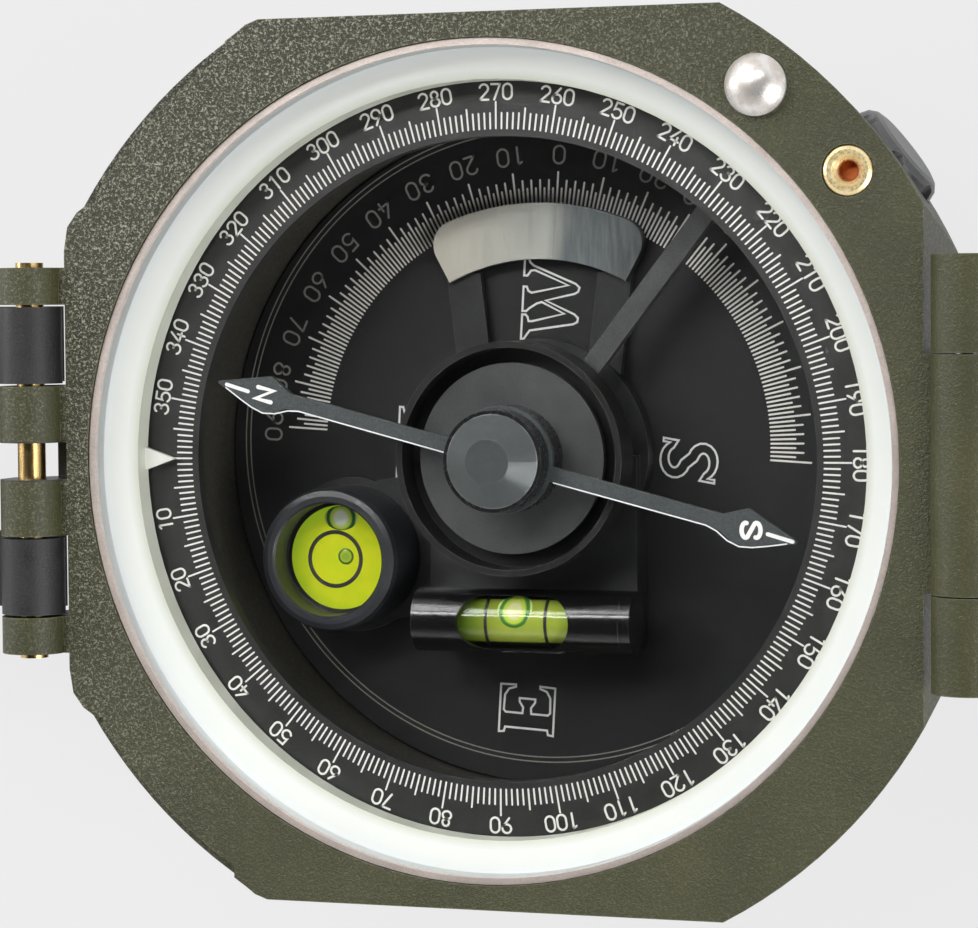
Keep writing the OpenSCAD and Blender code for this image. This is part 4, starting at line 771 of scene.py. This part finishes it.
# Round level: a cup of the same spirit under a glass window, in a turned black housing. A black
# circle is printed under the glass, and the bubble has run to the far side. A small green float
# lies in the circle.
wear("round_housing", finish("satin_black_enamel", (0.017, 0.019, 0.022), roughness=0.36,
                             grain=0.22, relief=0.006, tone=0.3, worn=(0.13, 0.14, 0.15),
                             amount=0.5))
wear("round_vial", finish("vial_seat_black", (0.008, 0.008, 0.007), grain=0.2, relief=0.006,
                          tone=0.3))
ROUND_X, ROUND_Y, ROUND_Z = -16.0, -8.36, 10.0
wear("round_liquid", spirit("round_spirit", ROUND_X + 0.5, ROUND_Y - 0.5, reach_mm=5.4, dark=0.15,
                            glow=0.5, low=(0.42, 0.50, 0.016), high=(0.52, 0.55, 0.020)))
circle = [(arc(ROUND_X - 0.45, ROUND_Y - 0.15, 2.2, 2.2, 0, 360, 60)[:-1], True)]
print_on("round_level_circle", circle, width=0.33, z=ROUND_Z, body="clinometer",
         material=black_line)


def dome(name, x_mm, y_mm, wide_mm, deep_mm, tall_mm, material):
    """A lens of air lying against the glass."""
    verts = []
    for share, t in blister_steps():
        verts.append((x_mm + wide_mm * share * math.cos(t), y_mm + deep_mm * share * math.sin(t),
                      ROUND_Z + AIR_GAP + tall_mm * (1 - share * share)))
    faces = [tuple(range(SPOKES))] + [f[::-1] for f in grid_faces(RINGS, SPOKES, True)]
    skin_piece(name, verts, faces, thick_mm=0.008, body="clinometer", material=material)


x, y = ROUND_X + 0.08, ROUND_Y + 3.2
round_air = bubble("round_bubble_air", x, y, reach_mm=1.42, lit_heart=(0.60, 0.66, 0.54),
                   rim=(0.02, 0.12, 0.035))
dome("round_bubble", x, y, wide_mm=1.42, deep_mm=1.0, tall_mm=0.2, material=round_air)
x, y = ROUND_X + 0.46, ROUND_Y + 0.08
float_green = bubble("round_float_green", x, y, reach_mm=0.74, lit_heart=(0.30, 0.46, 0.05),
                     rim=(0.06, 0.17, 0.01))
dome("round_float", x, y, wide_mm=0.68, deep_mm=0.68, tall_mm=0.08, material=float_green)
wear("finger_lever", finish("lever_black", (0.018, 0.018, 0.019), roughness=0.4, relief=0.012,
                            tone=0.3, worn=(0.30, 0.28, 0.25)))
wear("finger_screw", steel)

# Needle: a flat blued bar with a leaf at each end, pressed on a gloss black hub that hangs on a
# jewel. The disc below damps its swing, and the cup lifts it off its point.
wear("jewel_bearing", finish("ruby_red", (0.42, 0.02, 0.05), roughness=0.08, grain=0.3,
                             relief=0.001))
material, tree, out = blank("blued_bar")
fine = noise(tree, 0.13, detail=3, rough=0.7)
rubbed = place_group(tree, edge_wear, Width=0.07, Amount=0.8)
shade = blend_colour(tree, spread(tree, fine, 0.3, 0.7), (0.028, 0.033, 0.034),
                     (0.070, 0.080, 0.080))
shade = blend_colour(tree, rubbed.outputs[0], shade, (0.22, 0.24, 0.24))
rough = spread(tree, fine, 0.3, 0.7, 0.34, 0.52)
emboss(tree, principled(tree, out, shade, rough, 0.2), fine, 0.006)
wear("needle_bar", material)
wear("needle_hub", finish("hub_gloss_black", (0.010, 0.010, 0.0105), roughness=0.26, grain=0.4,
                          relief=0.004, tone=0.3, worn=(0.13, 0.135, 0.135),
                          Specular_IOR_Level=0.3))
wear("needle_cap", finish("cap_grey", (0.078, 0.087, 0.089), roughness=0.24, metallic=0.3,
                          grain=0.6, relief=0.003, tone=0.08, worn=(0.36, 0.38, 0.39), amount=0.5,
                          width=0.14))
wear("magnet_disc", finish("disc_dark_metal", (0.062, 0.064, 0.064), roughness=0.36, metallic=0.3,
                           grain=0.14, relief=0.006, tone=0.2, worn=(0.2, 0.2, 0.2), amount=0.3))
wear("lifting_cup", finish("cup_black", (0.008, 0.008, 0.0078), relief=0.006, tone=0.35,
                           worn=(0.15, 0.15, 0.145), amount=0.7, width=0.1,
                           Specular_IOR_Level=0.25))

# The needle's letters stand across it, and white lines mark its two tips. A painted highlight, a
# bright line, runs along one side of it, where the light would catch the edge.
NEEDLE_TURN, NEEDLE_Z = math.radians(165.4), 18.0


def on_needle(u, v):
    """A point u along the needle towards N and v to its left."""
    cosine, sine = math.cos(NEEDLE_TURN), math.sin(NEEDLE_TURN)
    return (u * cosine - v * sine, u * sine + v * cosine)


N_PLACE, S_PLACE = 20.1, -20.5
white_paint = ink("white_paint", (0.86, 0.86, 0.84), rub=0.08)
n_corners = [(-0.66, 0.46), (0.66, 0.46), (-0.66, -0.46), (0.66, -0.46)]
needle_n = [on_needle(N_PLACE + u, v) for u, v in n_corners]
s_x, s_y = on_needle(S_PLACE, 0)
s_curve = arc(-0.42, 0.0, 0.31, 0.56, 75, 295, 12)
needle_s = [(s_x + x, s_y + y) for x, y in s_curve] + [(s_x - x, s_y - y) for x, y in s_curve[::-1]]
tips = [([on_needle(21.5, 0.10), on_needle(23.4, 0.02)], False),
        ([on_needle(-21.8, -0.05), on_needle(-23.8, 0.0)], False)]
print_on("needle_letters", [(needle_n, False), (needle_s, False)], width=0.34, z=NEEDLE_Z,
         body="needle", material=white_paint)
print_on("needle_tip_lines", tips, width=0.3, z=NEEDLE_Z, body="needle", material=white_paint)
SIDE = 0.58
leaf_side = [(4.6, SIDE), (17.0, SIDE * 0.95), (17.9, 0.75), (18.9, 1.25), (19.9, 1.45),
             (20.9, 1.25), (22.0, 0.85), (23.4, 0.28)]
# Painted highlight: a pale line along the same side of the bar on both leaves.
painted_edge_highlights = [([on_needle(end * u, v) for u, v in leaf_side], False) for end in (1, -1)]
print_on("needle_bright_edge", painted_edge_highlights, width=0.1, z=NEEDLE_Z, body="needle",
         material=ink("bright_edge", (0.78, 0.80, 0.80), rub=0.05))

# Needle lift: a domed steel button in the top face, with a spring under it and a lever to the cup.
material, tree, out = blank("polished_button")
smudge = spread(tree, noise(tree, 1.1, detail=3, rough=0.6), 0.42, 0.62)
rubbed = place_group(tree, edge_wear, Width=0.1, Amount=0.5)
shade = blend_colour(tree, smudge, (0.82, 0.79, 0.76), (0.62, 0.57, 0.52))
shade = blend_colour(tree, rubbed.outputs[0], shade, (0.88, 0.87, 0.86))
rough = spread(tree, smudge, 0, 1, 0.24, 0.38)
emboss(tree, principled(tree, out, shade, rough, 0.72), noise(tree, 0.5), 0.004)
wear("lift_pin", material)
for node in ("lift_spring", "lifter_pin"):
    wear(node, steel)
wear("lifter_lever", finish("lever_dark_metal", (0.055, 0.056, 0.057), roughness=0.4, metallic=0.2,
                            grain=0.16, relief=0.006, tone=0.35, worn=(0.2, 0.2, 0.2), amount=0.4,
                            width=0.1))

# Azimuth ring: black enamel with 360 fine lines and a number at each ten, all printed in white.
# Face teeth under its rim mesh with the adjuster's pinion.
wear("azimuth_ring", finish("ring_black_enamel", (0.0165, 0.0165, 0.016), roughness=0.4, grain=0.16,
                            relief=0.012, tone=0.45, worn=(0.12, 0.12, 0.115), amount=0.35))
RING_Z, RING_SCALE_R, RING_NUMBER_R = 18.4, 25.5, 28.37
ring_ink = ink("ring_ink", (0.82, 0.81, 0.77), rub=0.12)
lines = []
for degree in range(360):
    length = 2.1 if degree % 10 == 0 else 1.65 if degree % 5 == 0 else 1.25
    lines.append(tick(degree, RING_SCALE_R + 0.06, RING_SCALE_R + length))
print_on("azimuth_lines", lines, width=0.135, z=RING_Z, body="azimuth_ring", material=ring_ink)
figures = []
for degree in range(0, 360, 10):
    figures += number_at(str(degree), 180 + degree, RING_NUMBER_R, tall=1.18, wide=1.32,
                         outward=True)
print_on("azimuth_numbers", figures, width=0.165, z=RING_Z, body="azimuth_ring", material=ring_ink)

# Window: a pale moulded spacer ring carries the index tooth on its inner wall. The glass lies on
# it, and a thin ring of rose-coloured steel holds the glass down.
material, tree, out = blank("pale_moulded_plastic")
cloud = spread(tree, noise(tree, 5, detail=3), 0.3, 0.7)
r = radius_from(tree, 0, 0)
# Painted light: by radius, greenish beige painted shade on the inner wall, white on the slope, and
# a pale blue-grey band further out.
shade = blend_colour(tree, spread(tree, r, 29.22, 29.9), (0.58, 0.60, 0.51), (0.76, 0.78, 0.75))
shade = blend_colour(tree, spread(tree, r, 30.7, 31.5), shade, (0.76, 0.80, 0.805))
shade = blend_colour(tree, math_node(tree, "MULTIPLY", cloud, 0.2), shade, (0.72, 0.74, 0.70))
rough = spread(tree, cloud, 0, 1, 0.34, 0.46)
emboss(tree, principled(tree, out, shade, rough, Specular_IOR_Level=0.25), cloud, 0.01)
wear("spacer_ring", material)
wear("index_pointer", finish("index_pale_plastic", (0.78, 0.78, 0.73), roughness=0.25, grain=0.4,
                             relief=0.004, tone=0.05))
wear("cover_glass", clear("cover_glass_clear", (0.985, 0.99, 0.985), ior=1.38))
wear("retaining_ring", finish("rose_steel", (0.66, 0.57, 0.52), roughness=0.36, metallic=0.6,
                              grain=0.2, relief=0.006, tone=0.15, worn=(0.92, 0.88, 0.84),
                              width=0.1, stretch=(1, 1, 0.2)))

# Ring adjuster: a fluted knob on a brass shaft with a pinion. A brass bush in the top face takes
# the screw that locks it.
wear("pinion_shaft", finish("pinion_brass", (0.60, 0.41, 0.15), roughness=0.28, metallic=1.0,
                            grain=0.14, relief=0.005))
wear("adjuster_knob", finish("knob_grey_metal", (0.095, 0.096, 0.098), roughness=0.4, metallic=0.3,
                             grain=0.2, relief=0.012, tone=0.3, worn=(0.30, 0.30, 0.29),
                             amount=0.7))
material, tree, out = blank("bright_brass")
BUSH_X, BUSH_Y = 28.4, 21.55
r = radius_from(tree, BUSH_X, BUSH_Y)
swirl = noise(tree, 0.25)
shade = blend_colour(tree, spread(tree, swirl, 0.3, 0.7), (0.90, 0.68, 0.30), (0.98, 0.85, 0.54))
# Painted shade: the bore is coloured dark orange, as the brass looks in the shade of its hole.
shade = blend_colour(tree, spread(tree, r, 0.70, 0.84), (0.55, 0.15, 0.02), shade)
shade = blend_colour(tree, spread(tree, r, 1.74, 1.86), shade, (0.16, 0.10, 0.03))
rough = spread(tree, swirl, 0.3, 0.7, 0.24, 0.36)
emboss(tree, principled(tree, out, shade, rough, 0.75), swirl, 0.006)
wear("lock_bush", material)
# Painted shade: the brass lock screw is coloured dark orange-red, as it looks down in its hole.
wear("lock_screw", finish("lock_screw_shaded_brass", (0.62, 0.17, 0.03), roughness=0.4, metallic=0.3,
                          grain=0.2))

# Sight arm: a black anodised plate with a slot, on two knuckles round a brass pin. A small leaf
# with a peep hole folds up at its end.
wear("arm_hinge_pin", finish("pin_brass", (0.66, 0.46, 0.19), roughness=0.24, metallic=1.0,
                             grain=0.16, relief=0.006, tone=0.2, worn=(0.85, 0.70, 0.42),
                             amount=0.4, width=0.1, stretch=(1, 0.1, 1)))
arm_black = finish("arm_black_anodised", (0.013, 0.013, 0.014), roughness=0.5, grain=0.16,
                   relief=0.03, tone=0.5, worn=(0.07, 0.07, 0.065), width=0.08)
wear("sight_arm", arm_black)
wear("peep_sight", arm_black)
wear("peep_pin", steel)

# Lid: the same enamel as the case, with a mirror held by a black bezel, a sighting window through
# it and a small leaf sight at the edge.
wear("lid_shell", enamel("olive_wrinkle_enamel_lid", False))
for node in ("lid_hinge_pin", "lid_sight_pin"):
    wear(node, steel)
wear("mirror_bezel", finish("bezel_black", (0.015, 0.015, 0.016), roughness=0.35, grain=0.2,
                            relief=0.008, tone=0.3, worn=(0.2, 0.2, 0.2), amount=0.5))
material, tree, out = blank("silvered_glass")
haze = spread(tree, noise(tree, 6, detail=4, rough=0.6), 0.4, 0.75)
shade = blend_colour(tree, haze, (0.83, 0.86, 0.86), (0.76, 0.79, 0.79))
rough = spread(tree, haze, 0, 1, 0.015, 0.06)
emboss(tree, principled(tree, out, shade, rough, 1.0), haze, 0.0005)
wear("mirror_glass", material)
MIRROR_X, MIRROR_Z = 74.5, 23.4
centre_line = [([(MIRROR_X - 14.6, 0), (MIRROR_X + 25.2, 0)], False)]
print_on("mirror_centre_line", centre_line, width=0.16, z=MIRROR_Z, body="lid", material=black_line)
wear("lid_sight", finish("leaf_metal", (0.42, 0.42, 0.41), roughness=0.32, metallic=1.0, grain=0.2,
                         relief=0.006, tone=0.2, worn=(0.7, 0.7, 0.68), amount=0.5,
                         stretch=(1, 0.15, 1)))
